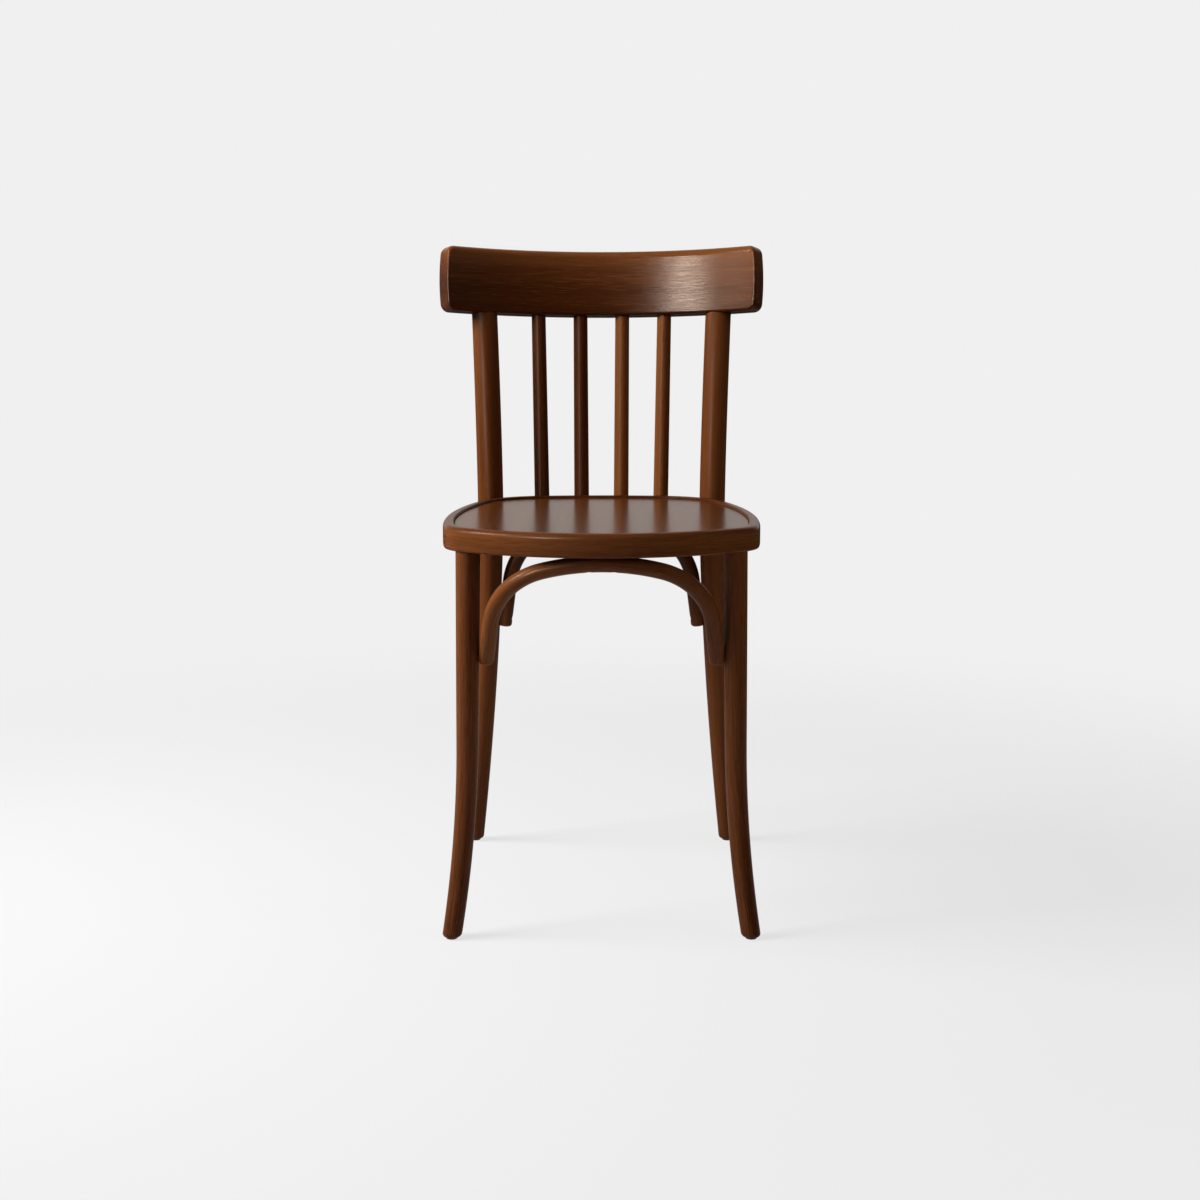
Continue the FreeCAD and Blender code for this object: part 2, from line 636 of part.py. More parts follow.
def glide_shapes(axis):
    """Glide and its nail under a foot, with the bore the nail needs."""
    place = axis(GLIDE_HEIGHT)
    centre = Vector(place.x, place.y, 0)
    disc = rod(centre, UP, GLIDE_DIAMETER, GLIDE_HEIGHT)
    disc = disc.makeFillet(GLIDE_EDGE_ROUND, level_edges(disc, 0))
    sizes = (GLIDE_NAIL_DIAMETER, GLIDE_NAIL_LENGTH, GLIDE_NAIL_HEAD_DIAMETER, GLIDE_NAIL_HEAD_HEIGHT)
    head_face = centre + UP * GLIDE_NAIL_SINK
    pin = along(nail(*sizes), head_face, UP)
    bore = along(nail_bore(*sizes), head_face, UP)
    return disc.cut(bore), pin, bore


def crest_nail_shapes():
    """Right-hand nail through the crest's back into a post's tenon, and its bore."""
    angle = crest_angle(POST_TOP_SPACING / 2)
    inward = crest_outward(angle) * -1
    face = CREST_AXIS - inward * (CREST_RADIUS + CREST_THICKNESS / 2) + CREST_UP * CREST_NAIL_RISE
    sizes = (CREST_NAIL_DIAMETER, CREST_NAIL_LENGTH, CREST_NAIL_HEAD_DIAMETER, CREST_NAIL_HEAD_HEIGHT)
    return along(nail(*sizes), face, inward), along(nail_bore(*sizes), face, inward)


def bored(solid, tools):
    for tool in tools:
        solid = solid.cut(tool)
    return solid


def build():
    ring_block = make_ring_block()
    ring = make_ring(ring_block)
    leg = make_leg()
    post = make_post(ring_block)
    crest = make_crest()

    bolt, washer, nut, bolt_hole, bolt_spot, washer_spot = bolt_shapes()
    leg_glide, leg_glide_nail, leg_glide_bore = glide_shapes(leg_axis)
    post_glide, post_glide_nail, post_glide_bore = glide_shapes(post_axis)
    crest_nail, crest_nail_bore = crest_nail_shapes()

    lock_start, lock_way, lock_length = sunk(*lock_screw_place())
    lock_screw = along(wood_screw(lock_length), lock_start, lock_way)
    lock_bore = along(screw_bore(lock_length), lock_start, lock_way)

    parts = {}
    arch_rows = [
        ("front_arch", leg_axis, leg_diameter, FRONT_ARCH_END_HEIGHT, FRONT_ARCH_SADDLE,
         ARCH_CROWN_INSET - SEAT_DEPTH / 2, leg),
        ("rear_arch", post_axis, post_width, REAR_ARCH_END_HEIGHT, REAR_ARCH_SADDLE,
         SEAT_DEPTH / 2 - ARCH_CROWN_INSET, post),
    ]
    ring_bores = [pair(tool) for tool in (bolt_hole, washer_spot, lock_bore)]
    carrier_bores = {}
    for name, axis, diameter, height, saddle, crown_y, carrier in arch_rows:
        end = arch_end(axis, diameter, height, saddle)
        crown = arch_crown(crown_y)
        carriers = [shape for _, shape in both_sides(carrier)]
        arch = make_arch(end, crown, ring_block, carriers)
        face_x, face_y, level, length = arch_end_screw_place(axis, diameter, height, saddle)
        end_start = Vector(face_x, face_y, level)
        end_bore = along(screw_bore(length), end_start, Vector(1, 0, 0))
        end_screws = pair(along(wood_screw(length), end_start, Vector(1, 0, 0)))
        crown_length = ARCH_DIAMETER - ARCH_CROWN_FLAT - SCREW_HEAD_SINK + ARCH_CROWN_SCREW_GRIP
        crown_start = Vector(ARCH_CROWN_SCREW_SPACING / 2, crown.y,
                             crown.z - ARCH_DIAMETER / 2 + SCREW_HEAD_SINK)
        crown_screws = pair(along(wood_screw(crown_length), crown_start, UP))
        crown_bores = pair(along(screw_bore(crown_length), crown_start, UP))
        parts[name] = bored(arch, [pair(end_bore), crown_bores])
        parts[name + "_end_screws"] = end_screws
        parts[name + "_crown_screws"] = crown_screws
        carrier_bores[name] = end_bore
        ring_bores.append(crown_bores)

    spindle_names = ["spindle_outer_left", "spindle_inner_left", "spindle_inner_right", "spindle_outer_right"]
    spindle_screws = []
    crest_bores = [pair(crest_nail_bore)]
    for i, name in enumerate(spindle_names):
        place = i - (len(spindle_names) - 1) / 2
        spindle = make_spindle(place, ring_block)
        start, way, length = sunk(*spindle_screw_place(place))
        bore = along(screw_bore(length), start, way)
        spindle_screws.append(along(wood_screw(length), start, way))
        ring_bores.append(bore)
        seat, crest_point = spindle_ends(place)
        crest_way = (crest_point - seat).normalize()
        crest_bores.append(rod(crest_point - crest_way * SPINDLE_TENON_LENGTH, crest_way,
                               SPINDLE_TENON_DIAMETER + 2 * BORE_GAP,
                               2 * SPINDLE_TENON_LENGTH + BORE_END_GAP))
        parts[name] = spindle.cut(bore)

    post_mortise = rod(POST_TOP - CREST_UP * POST_TENON_LENGTH, CREST_UP,
                       POST_TENON_DIAMETER + 2 * BORE_GAP, 2 * POST_TENON_LENGTH + BORE_END_GAP)
    crest_bores.append(pair(post_mortise))
    leg_mortise = rod(Vector(LEG_TOP.x, LEG_TOP.y, RING_BOTTOM - LEG_TENON_LENGTH), UP,
                      LEG_TENON_DIAMETER + 2 * BORE_GAP, 2 * LEG_TENON_LENGTH + BORE_END_GAP)
    ring_bores.append(pair(leg_mortise))

    parts["seat_ring"] = bored(ring, ring_bores)
    parts["seat_panel"] = make_panel()
    parts["crest_rail"] = bored(crest, crest_bores)
    finished_leg = bored(leg, [leg_glide_bore, lock_bore, carrier_bores["front_arch"]])
    finished_post = bored(post, [post_glide_bore, bolt_hole, bolt_spot, crest_nail_bore,
                                 carrier_bores["rear_arch"]])
    for side, shape in both_sides(finished_leg):
        parts["front_leg_" + side] = shape
    for side, shape in both_sides(finished_post):
        parts["back_post_" + side] = shape

    parts["post_bolts"] = pair(bolt)
    parts["post_bolt_washers"] = pair(washer)
    parts["post_bolt_nuts"] = pair(nut)
    parts["spindle_screws"] = Part.makeCompound(spindle_screws)
    parts["leg_lock_screws"] = pair(lock_screw)
    parts["crest_nails"] = pair(crest_nail)
    parts["foot_glides"] = Part.makeCompound([pair(leg_glide), pair(post_glide)])
    parts["glide_nails"] = Part.makeCompound([pair(leg_glide_nail), pair(post_glide_nail)])
    return parts


def export(parts):
    """Write every piece with the origin on the floor under the middle of the whole chair."""
    whole = FreeCAD.BoundBox()
    for shape in parts.values():
        whole.add(shape.optimalBoundingBox())
    shift = Vector(0, -whole.Center.y, 0)
    os.makedirs("parts", exist_ok=True)
    for name, shape in parts.items():
        moved = shape.copy()
        moved.translate(shift)
        moved.exportStep("parts/" + name + ".step")
    print("overall", [round(size, 1) for size in (whole.XLength, whole.YLength, whole.ZLength)],
          "moved back to front by", round(shift.y, 2))


export(build())
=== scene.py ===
# %% [markdown]
# # A bentwood chair with a spindle back
# The real chair is steamed beech: a bent hoop for the seat, bent arches under it, turned legs, and a
# wide bent board on top of two posts and four spindles. All of it is stained walnut brown and lacquered.
# The imported model comes in first, as a fixed frame in metres. It gives the place and size of every piece,
# so the new pieces below only have to be smoother and better finished.

# %% Load the frame
import math

import bmesh
import bpy
import numpy as np
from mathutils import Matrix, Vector
from mathutils.kdtree import KDTree


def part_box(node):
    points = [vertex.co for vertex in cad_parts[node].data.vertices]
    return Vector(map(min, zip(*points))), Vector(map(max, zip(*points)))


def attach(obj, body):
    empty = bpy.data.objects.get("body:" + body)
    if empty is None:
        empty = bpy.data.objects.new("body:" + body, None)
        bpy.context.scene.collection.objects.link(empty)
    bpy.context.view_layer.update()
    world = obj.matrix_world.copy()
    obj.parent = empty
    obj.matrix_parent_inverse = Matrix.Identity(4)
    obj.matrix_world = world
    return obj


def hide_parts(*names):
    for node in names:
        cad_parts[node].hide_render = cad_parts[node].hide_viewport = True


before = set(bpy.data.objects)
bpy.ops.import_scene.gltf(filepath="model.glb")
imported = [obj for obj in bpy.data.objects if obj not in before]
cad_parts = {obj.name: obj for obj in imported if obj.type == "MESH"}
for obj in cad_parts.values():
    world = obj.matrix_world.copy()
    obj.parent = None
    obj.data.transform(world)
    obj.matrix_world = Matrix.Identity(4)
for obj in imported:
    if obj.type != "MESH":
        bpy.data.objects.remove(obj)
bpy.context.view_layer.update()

print("nodes in the frame:", len(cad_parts))

# %% [markdown]
# ## Camera
# The photograph looks straight at the chair from a little above, with a lens slightly longer than
# normal. A camera could be placed by eye, but matching the feet, the seat's rim and the crest fixes the
# height, the distance, the tilt and the lens together. The lens is not shifted.

# %% Camera
CAMERA_PLACE = (-0.0018, -2.4249, 0.7477)
CAMERA_TILT_DOWN = 9.084
CAMERA_LENS = 60.84

camera_data = bpy.data.cameras.new("camera")
camera_data.sensor_width = 36.0
camera_data.lens = CAMERA_LENS
camera = bpy.data.objects.new("camera", camera_data)
camera.location = CAMERA_PLACE
camera.rotation_euler = (math.radians(90.0 - CAMERA_TILT_DOWN), 0.0, 0.0)
bpy.context.scene.collection.objects.link(camera)
bpy.context.scene.camera = camera
print("camera height", CAMERA_PLACE[2], "m, lens", CAMERA_LENS, "mm")

# %% [markdown]
# ## Node helpers
# Materials and Geometry Nodes are both trees of nodes joined by links. A few short helpers keep the rest
# readable: a socket that is given another node's output becomes a link, and one that is given a plain
# value is set to it.

# %% Node helpers
def fill(tree, socket, value):
    """Link a socket to another node's output, or set it to a plain value."""
    if isinstance(value, bpy.types.NodeSocket):
        tree.links.new(value, socket)
    else:
        socket.default_value = value


def add_node(tree, kind, inputs=None, **settings):
    """Add a node with its settings; inputs are keyed by socket name or number."""
    node = tree.nodes.new(kind)
    for key, value in settings.items():
        setattr(node, key, value)
    for key, value in (inputs or {}).items():
        fill(tree, node.inputs[key], value)
    return node


def maths(tree, operation, first, second=0.0):
    return add_node(tree, "ShaderNodeMath", {0: first, 1: second}, operation=operation).outputs[0]


def vector_maths(tree, operation, first, second):
    node = add_node(tree, "ShaderNodeVectorMath", {0: first}, operation=operation)
    fill(tree, node.inputs["Scale" if operation == "SCALE" else 1], second)
    return node.outputs[0]


def eased(tree, value, start, end, low, high):
    """A number that goes smoothly from low to high while the input goes from start to end."""
    return add_node(tree, "ShaderNodeMapRange", {0: value, 1: start, 2: end, 3: low, 4: high},
                    interpolation_type="SMOOTHSTEP").outputs[0]


def mixed_colour(tree, share, first, second):
    node = add_node(tree, "ShaderNodeMix", data_type="RGBA")
    for place, value in ((0, share), (6, first), (7, second)):
        fill(tree, node.inputs[place], value)
    return node.outputs[2]


def new_material(name):
    """A material with an empty tree."""
    material = bpy.data.materials.new(name)
    material.use_nodes = True
    material.node_tree.nodes.clear()
    return material, material.node_tree


def colour_steps(tree, value, steps):
    """A colour ramp through (place, colour) steps."""
    node = add_node(tree, "ShaderNodeValToRGB", {0: value})
    ramp = node.color_ramp
    while len(ramp.elements) < len(steps):
        ramp.elements.new(1.0)
    for element, (place, colour) in zip(ramp.elements, steps):
        element.position = place
        element.color = (*colour, 1.0)
    return node.outputs[0]


print("node helpers ready")

# %% [markdown]
# ## Stained beech
# Beech is pale and close grained: short fine flecks, faint long streaks and slow changes of tone. A dark
# stain soaks in unevenly, so the streaks stay visible under the lacquer. A picture of wood would not
# follow a bent rod, so every piece here carries its own grain coordinates, stored on its mesh while it is
# straight: two across the wood and one along it. Noise that is stretched along the grain reads them, and
# the streaks bend with the rod. A fourth number shifts the pattern from piece to piece, and a fifth says
# how deep the stain is there, with painted shade and painted light added to it on some pieces. The lacquer
# is a thin amber film: satin on the hoop, the legs and the arches, thinner and duller on the posts and
# spindles, and most polished on the crest, where it sinks into the pores.

# %% Grain measure
GRAIN_ACROSS = 0.003
GRAIN_ALONG = 0.1
AMBER = (1.0, 0.82, 0.68, 1.0)
print("one unit of grain is", GRAIN_ACROSS * 1000, "mm across and", GRAIN_ALONG * 1000, "mm along")

# %% Wood finish
def grain_noise(tree, vector, shift, scale, detail):
    """Noise in four dimensions: three of grain and one that shifts it from piece to piece."""
    return add_node(tree, "ShaderNodeTexNoise",
                    {"Vector": vector, "W": shift, "Scale": scale, "Detail": detail},
                    noise_dimensions="4D").outputs[0]


def weighted(tree, parts):
    """Sum of (number, weight) pairs."""
    first, *others = [maths(tree, "MULTIPLY", value, weight) for value, weight in parts]
    for other in others:
        first = maths(tree, "ADD", first, other)
    return first


def stained_wood(name, steps, lacquer, roughness, relief, flecking):
    """Stained and lacquered wood that reads the grain stored on the mesh; lacquer is its refraction."""
    material, tree = new_material(name)
    grain = add_node(tree, "ShaderNodeAttribute", attribute_name="grain").outputs["Vector"]
    shift = add_node(tree, "ShaderNodeAttribute", attribute_name="grain_shift").outputs["Fac"]
    # this attribute holds the real stain and, on some pieces, painted shade and painted light
    stain_and_shade_depth = add_node(tree, "ShaderNodeAttribute", attribute_name="stain").outputs["Fac"]
    tone = grain_noise(tree, grain, shift, 0.12, 2.0)
    streaks = grain_noise(tree, grain, shift, 0.8, 4.0)
    fibres = grain_noise(tree, grain, shift, 3.2, 2.0)
    pores = grain_noise(tree, grain, shift, 6.0, 2.0)
    flecks = eased(tree, grain_noise(tree, grain, shift, 10.0, 1.0), 0.6, 0.74, 0.0, flecking)
    bare = weighted(tree, [(tone, 0.62), (streaks, 0.2), (fibres, 0.18)])
    shade = maths(tree, "SUBTRACT", bare, stain_and_shade_depth)
    stain = colour_steps(tree, shade, steps)
    fleck_colour = tuple(value * 0.5 for value in steps[0][1]) + (1.0,)
    colour = mixed_colour(tree, flecks, stain, fleck_colour)
    height = weighted(tree, [(streaks, 0.2), (fibres, 0.5), (pores, 0.3)])
    bump = add_node(tree, "ShaderNodeBump", {"Strength": relief, "Distance": 0.0004, "Height": height})
    shader = add_node(tree, "ShaderNodeBsdfPrincipled", {
        "Base Color": colour, "Normal": bump.outputs[0], "IOR": lacquer, "Specular Tint": AMBER,
        "Roughness": eased(tree, fibres, 0.3, 0.7, *roughness)})
    add_node(tree, "ShaderNodeOutputMaterial", {0: shader.outputs[0]})
    return material


BEECH_STEPS = [
    (0.12, (0.040, 0.0088, 0.0014)),
    (0.28, (0.070, 0.0168, 0.0029)),
    (0.44, (0.125, 0.0355, 0.0086)),
    (0.56, (0.163, 0.0490, 0.0125)),
    (0.72, (0.215, 0.0690, 0.0160)),
]
satin_beech = stained_wood("satin_beech", BEECH_STEPS, 1.31, (0.24, 0.33), 0.06, 0.3)
matt_beech = stained_wood("matt_beech", BEECH_STEPS, 1.2, (0.28, 0.38), 0.06, 0.3)
polished_beech = stained_wood("polished_beech", BEECH_STEPS, 1.40, (0.18, 0.28), 0.42, 0.3)
print("finishes:", satin_beech.name, matt_beech.name, polished_beech.name)

# %% [markdown]
# ## Seat veneer
# The panel is plywood with a flat, tight face. It is stained a little darker than the beech and its lacquer
# lies smooth: in the photograph the spindles mirror in it. The grain runs from front to back.

# %% Seat veneer
VENEER_STEPS = [
    (0.28, (0.056, 0.0157, 0.0029)),
    (0.44, (0.083, 0.0242, 0.0048)),
    (0.56, (0.104, 0.0310, 0.0065)),
    (0.72, (0.128, 0.0408, 0.0089)),
]
seat_veneer = stained_wood("seat_veneer", VENEER_STEPS, 1.36, (0.22, 0.24), 0.001, 0.1)
print("finish:", seat_veneer.name)

# %% [markdown]
# ## Hardware finishes
# Screws, bolts and nails are zinc plated: bright steel with a cloudy film and slightly uneven gloss. The
# glides under the feet are dark nylon with a fine moulded texture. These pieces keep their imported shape,
# so their finishes read Object coordinates, which are simply metres in the chair's frame.

# %% Hardware finishes
def hardware_finish(name, first, second, metallic, roughness, scale, relief):
    """Two mixed colours and an uneven gloss from noise on Object coordinates."""
    material, tree = new_material(name)
    place = add_node(tree, "ShaderNodeTexCoord").outputs["Object"]
    cloud, fine = [
        add_node(tree, "ShaderNodeTexNoise", {"Vector": place, "Scale": size, "Detail": detail}).outputs[0]
        for size, detail in ((scale, 3.0), (scale * 6, 2.0))]
    colour = colour_steps(tree, cloud, [(0.35, first), (0.65, second)])
    bump = add_node(tree, "ShaderNodeBump", {"Strength": relief, "Distance": 0.0001, "Height": fine})
    shader = add_node(tree, "ShaderNodeBsdfPrincipled", {
        "Base Color": colour, "Metallic": metallic, "Normal": bump.outputs[0],
        "Roughness": eased(tree, cloud, 0.3, 0.7, *roughness)})
    add_node(tree, "ShaderNodeOutputMaterial", {0: shader.outputs[0]})
    return material


bright_steel = hardware_finish("bright_steel", (0.46, 0.45, 0.42), (0.60, 0.59, 0.56),
                               1.0, (0.25, 0.42), 300, 0.1)
glide_nylon = hardware_finish("glide_nylon", (0.022, 0.016, 0.012), (0.040, 0.030, 0.023),
                              0.0, (0.45, 0.6), 500, 0.3)
for node_name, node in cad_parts.items():
    for endings, finish in ((("screws", "bolts", "washers", "nuts", "nails"), bright_steel),
                            (("glides",), glide_nylon)):
        if node_name.endswith(endings):
            node.data.materials.clear()
            node.data.materials.append(finish)
print("hardware finishes:", bright_steel.name, glide_nylon.name)

# %% [markdown]
# ## One sweep for every bent piece
# A bent rod and the seat's hoop are made alike in the workshop: a long piece with one section is bent
# round a form. Geometry Nodes can do the same. The path is a line of points, and each point carries two
# arrows, side and rise, that say where the section's two directions lie there and how large it is. Curve
# to Mesh makes the skin, and Set Position then puts every point of the section exactly where the arrows
# say. The grain is measured along the path before anything is bent. Painted shade can also deepen the
# stain towards the start of the path, so that a leg darkens towards the floor, where less light reaches.

# %% The sweep's tree
FOOT_SHADE_REACH = 0.25


def capture(tree, geometry, fields):
    """Hold values on a geometry so that they survive the next steps; fields are (name, kind, value)."""
    node = add_node(tree, "GeometryNodeCaptureAttribute", {0: geometry})
    for name, kind, value in fields:
        node.capture_items.new(kind, name)
        fill(tree, node.inputs[name], value)
    return node


def stored_vector(tree, name):
    return add_node(tree, "GeometryNodeInputNamedAttribute", {"Name": name},
                    data_type="FLOAT_VECTOR").outputs[0]


def make_sweep_tree():
    tree = bpy.data.node_groups.new("bent sweep", "GeometryNodeTree")
    tree.interface.new_socket("Geometry", in_out="OUTPUT", socket_type="NodeSocketGeometry")
    for name, kind in (("Geometry", "NodeSocketGeometry"), ("Section", "NodeSocketObject"),
                       ("Closed", "NodeSocketBool"), ("Grain Across", "NodeSocketFloat"),
                       ("Grain Along", "NodeSocketFloat"), ("Grain Shift", "NodeSocketFloat"),
                       ("Stain Depth", "NodeSocketFloat"), ("Foot Stain", "NodeSocketFloat"),
                       ("Finish", "NodeSocketMaterial")):
        tree.interface.new_socket(name, in_out="INPUT", socket_type=kind)
    given = add_node(tree, "NodeGroupInput").outputs
    position = add_node(tree, "GeometryNodeInputPosition").outputs[0]
    run = add_node(tree, "GeometryNodeSplineParameter").outputs["Length"]
    whole = add_node(tree, "GeometryNodeSplineLength").outputs["Length"]
    path = add_node(tree, "GeometryNodeMeshToCurve", {0: given["Geometry"]}).outputs[0]
    path = capture(tree, path, [("axis", "VECTOR", position),
                                ("run", "FLOAT", run), ("whole", "FLOAT", whole),
                                ("side", "VECTOR", stored_vector(tree, "side")),
                                ("rise", "VECTOR", stored_vector(tree, "rise"))]).outputs
    section = add_node(tree, "GeometryNodeObjectInfo", {"Object": given["Section"]}).outputs["Geometry"]
    section = add_node(tree, "GeometryNodeMeshToCurve", {0: section}).outputs[0]
    section = capture(tree, section, [("place", "VECTOR", position)]).outputs
    skin = add_node(tree, "GeometryNodeCurveToMesh", {
        "Curve": path["Geometry"], "Profile Curve": section["Geometry"], "Fill Caps": True}).outputs[0]
    place = add_node(tree, "ShaderNodeSeparateXYZ", {0: section["place"]}).outputs
    offset = vector_maths(tree, "ADD", vector_maths(tree, "SCALE", path["side"], place["X"]),
                          vector_maths(tree, "SCALE", path["rise"], place["Y"]))
    bent = add_node(tree, "GeometryNodeSetPosition", {
        "Geometry": skin, "Position": vector_maths(tree, "ADD", path["axis"], offset)}).outputs[0]
    across = []
    for arrow, share in (("side", "X"), ("rise", "Y")):
        length = add_node(tree, "ShaderNodeVectorMath", {0: path[arrow]},
                          operation="LENGTH").outputs["Value"]
        distance = maths(tree, "MULTIPLY", length, place[share])
        across.append(maths(tree, "DIVIDE", distance, given["Grain Across"]))
    along = maths(tree, "DIVIDE", path["run"], given["Grain Along"])
    open_grain = add_node(tree, "ShaderNodeCombineXYZ", {0: across[0], 1: across[1], 2: along}).outputs[0]
    turn = maths(tree, "MULTIPLY", maths(tree, "DIVIDE", path["run"], path["whole"]), 2 * math.pi)
    reach = maths(tree, "DIVIDE", path["whole"], maths(tree, "MULTIPLY", given["Grain Along"], 2 * math.pi))
    round_grain = add_node(tree, "ShaderNodeCombineXYZ", {
        0: maths(tree, "MULTIPLY", reach, maths(tree, "COSINE", turn)),
        1: maths(tree, "MULTIPLY", reach, maths(tree, "SINE", turn)), 2: across[0]}).outputs[0]
    grain = add_node(tree, "GeometryNodeSwitch", {0: given["Closed"]}, input_type="VECTOR")
    fill(tree, grain.inputs["False"], open_grain)
    fill(tree, grain.inputs["True"], round_grain)
    shift = add_node(tree, "GeometryNodeSwitch", {0: given["Closed"]}, input_type="FLOAT")
    fill(tree, shift.inputs["False"], given["Grain Shift"])
    fill(tree, shift.inputs["True"], maths(tree, "ADD", across[1], given["Grain Shift"]))
    # painted shade: darker towards the start of the path, for light that falls off towards the floor
    toward_floor_shade = eased(tree, path["run"], 0.0, FOOT_SHADE_REACH, given["Foot Stain"], 0.0)
    stain = maths(tree, "ADD", given["Stain Depth"], toward_floor_shade)
    for name, kind, value in (("grain", "FLOAT_VECTOR", grain.outputs[0]),
                              ("grain_shift", "FLOAT", shift.outputs[0]), ("stain", "FLOAT", stain)):
        store = add_node(tree, "GeometryNodeStoreNamedAttribute", {"Geometry": bent, "Name": name},
                         data_type=kind, domain="POINT")
        fill(tree, store.inputs["Value"], value)
        bent = store.outputs[0]
    for name in ("side", "rise"):
        bent = add_node(tree, "GeometryNodeRemoveAttribute", {"Geometry": bent, "Name": name}).outputs[0]
    whole_piece = add_node(tree, "GeometryNodeRealizeInstances", {0: bent}).outputs[0]
    finished = add_node(tree, "GeometryNodeSetMaterial",
                        {"Geometry": whole_piece, "Material": given["Finish"]}).outputs[0]
    add_node(tree, "NodeGroupOutput", {0: finished})
    return tree


sweep_tree = make_sweep_tree()
print("sweep tree with", len(sweep_tree.nodes), "nodes")

# %% [markdown]
# ## Running the sweep
# A path goes in as a small mesh of points and edges. The tree's inputs are set by their identifiers, the
# result is copied to a plain mesh, and the path is thrown away. Points are worked out in millimetres, as
# a maker would, and become metres only here. Normals are turned outwards and edges sharper than 40
# degrees stay sharp.

# %% Running the sweep
MM = 0.001


def chain(name, points, closed):
    """Mesh of points joined one to the next."""
    count = len(points)
    edges = [(i, i + 1) for i in range(count - 1)] + ([(count - 1, 0)] if closed else [])
    mesh = bpy.data.meshes.new(name)
    mesh.from_pydata([tuple(point) for point in points], edges, [])
    made = bpy.data.objects.new(name, mesh)
    bpy.context.scene.collection.objects.link(made)
    return made


def tidy_mesh(mesh):
    """Merge doubles, turn the faces outwards and shade smoothly with real edges kept sharp."""
    work = bmesh.new()
    work.from_mesh(mesh)
    bmesh.ops.remove_doubles(work, verts=work.verts, dist=1e-6)
    bmesh.ops.recalc_face_normals(work, faces=work.faces)
    work.to_mesh(mesh)
    work.free()
    mesh.shade_smooth()
    mesh.set_sharp_from_angle(angle=math.radians(40))


def add_piece(name, mesh):
    mesh.name = name
    made = bpy.data.objects.new(name, mesh)
    bpy.context.scene.collection.objects.link(made)
    return made


def sweep(name, points, side, rise, section, shift, stain=0.0, foot_painted_shade=0.0,
          closed=False, finish=satin_beech):
    """Sweep a section (two coordinates per point) along points in millimetres."""
    path = chain(name + "_path", np.asarray(points) * MM, closed)
    for label, arrows in (("side", side), ("rise", rise)):
        stored = path.data.attributes.new(label, "FLOAT_VECTOR", "POINT")
        stored.data.foreach_set("vector", np.asarray(arrows, dtype=np.float32).ravel() * np.float32(MM))
    outline = chain(name + "_section", [(x, y, 0.0) for x, y in section], True)
    modifier = path.modifiers.new("sweep", "NODES")
    modifier.node_group = sweep_tree
    names = {item.name: item.identifier for item in sweep_tree.interface.items_tree
             if item.in_out == "INPUT"}
    for label, value in (("Section", outline), ("Closed", closed), ("Grain Across", GRAIN_ACROSS),
                         ("Grain Along", GRAIN_ALONG), ("Grain Shift", shift), ("Stain Depth", stain),
                         ("Foot Stain", foot_painted_shade), ("Finish", finish)):
        modifier[names[label]] = value
    shown = path.evaluated_get(bpy.context.evaluated_depsgraph_get())
    mesh = bpy.data.meshes.new_from_object(shown)
    for spare in (path, outline):
        bpy.data.objects.remove(spare)
    tidy_mesh(mesh)
    return add_piece(name, mesh)


def round_section(sides):
    turns = np.arange(sides) * 2 * math.pi / sides
    return np.column_stack([np.cos(turns), np.sin(turns)])


ROD_SECTION = round_section(48)
print("rods have", len(ROD_SECTION), "sides")

# %% [markdown]
# ## The seat's outline
# Seen from above, the hoop is a row of arcs that run smoothly into each other: a front bow, two front
# corners, two long sides, two wide rear corners and a rear bow. Where two arcs meet they share a tangent,
# so each corner's centre is where two circles cross. Every other line of the seat is parallel to this one.

# %% The seat's outline
SEAT_TOP, RING_BOTTOM = 470.0, 443.0
SEAT_WIDTH, SEAT_DEPTH, WIDEST_AHEAD = 367.5, 404.5, 39.0
FRONT_BOW, SIDE_BOW, REAR_BOW = 258.0, 548.0, 600.0
FRONT_CORNER, REAR_CORNER = 52.0, 92.5
ring_low, ring_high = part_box("seat_ring")
SEAT_MIDDLE = (ring_low.y + ring_high.y) / 2 / MM


def heading(angle):
    return np.array([math.cos(angle), math.sin(angle)])


def bearing(arrow):
    return math.atan2(arrow[1], arrow[0])


def crossing(centre_a, radius_a, centre_b, radius_b):
    """The crossing of two circles that lies further to the right."""
    apart = centre_b - centre_a
    distance = np.linalg.norm(apart)
    ahead = (radius_a ** 2 - radius_b ** 2 + distance ** 2) / (2 * distance)
    aside = math.sqrt(radius_a ** 2 - ahead ** 2)
    unit = apart / distance
    square = np.array([-unit[1], unit[0]])
    return max((centre_a + unit * ahead + square * aside * way for way in (1, -1)),
               key=lambda point: point[0])


FRONT_CENTRE = np.array([0.0, SEAT_MIDDLE + FRONT_BOW - SEAT_DEPTH / 2])
REAR_CENTRE = np.array([0.0, SEAT_MIDDLE + SEAT_DEPTH / 2 - REAR_BOW])
SIDE_CENTRE = np.array([SEAT_WIDTH / 2 - SIDE_BOW, SEAT_MIDDLE - WIDEST_AHEAD])
FRONT_CORNER_CENTRE = crossing(FRONT_CENTRE, FRONT_BOW - FRONT_CORNER,
                               SIDE_CENTRE, SIDE_BOW - FRONT_CORNER)
REAR_CORNER_CENTRE = crossing(REAR_CENTRE, REAR_BOW - REAR_CORNER, SIDE_CENTRE, SIDE_BOW - REAR_CORNER)


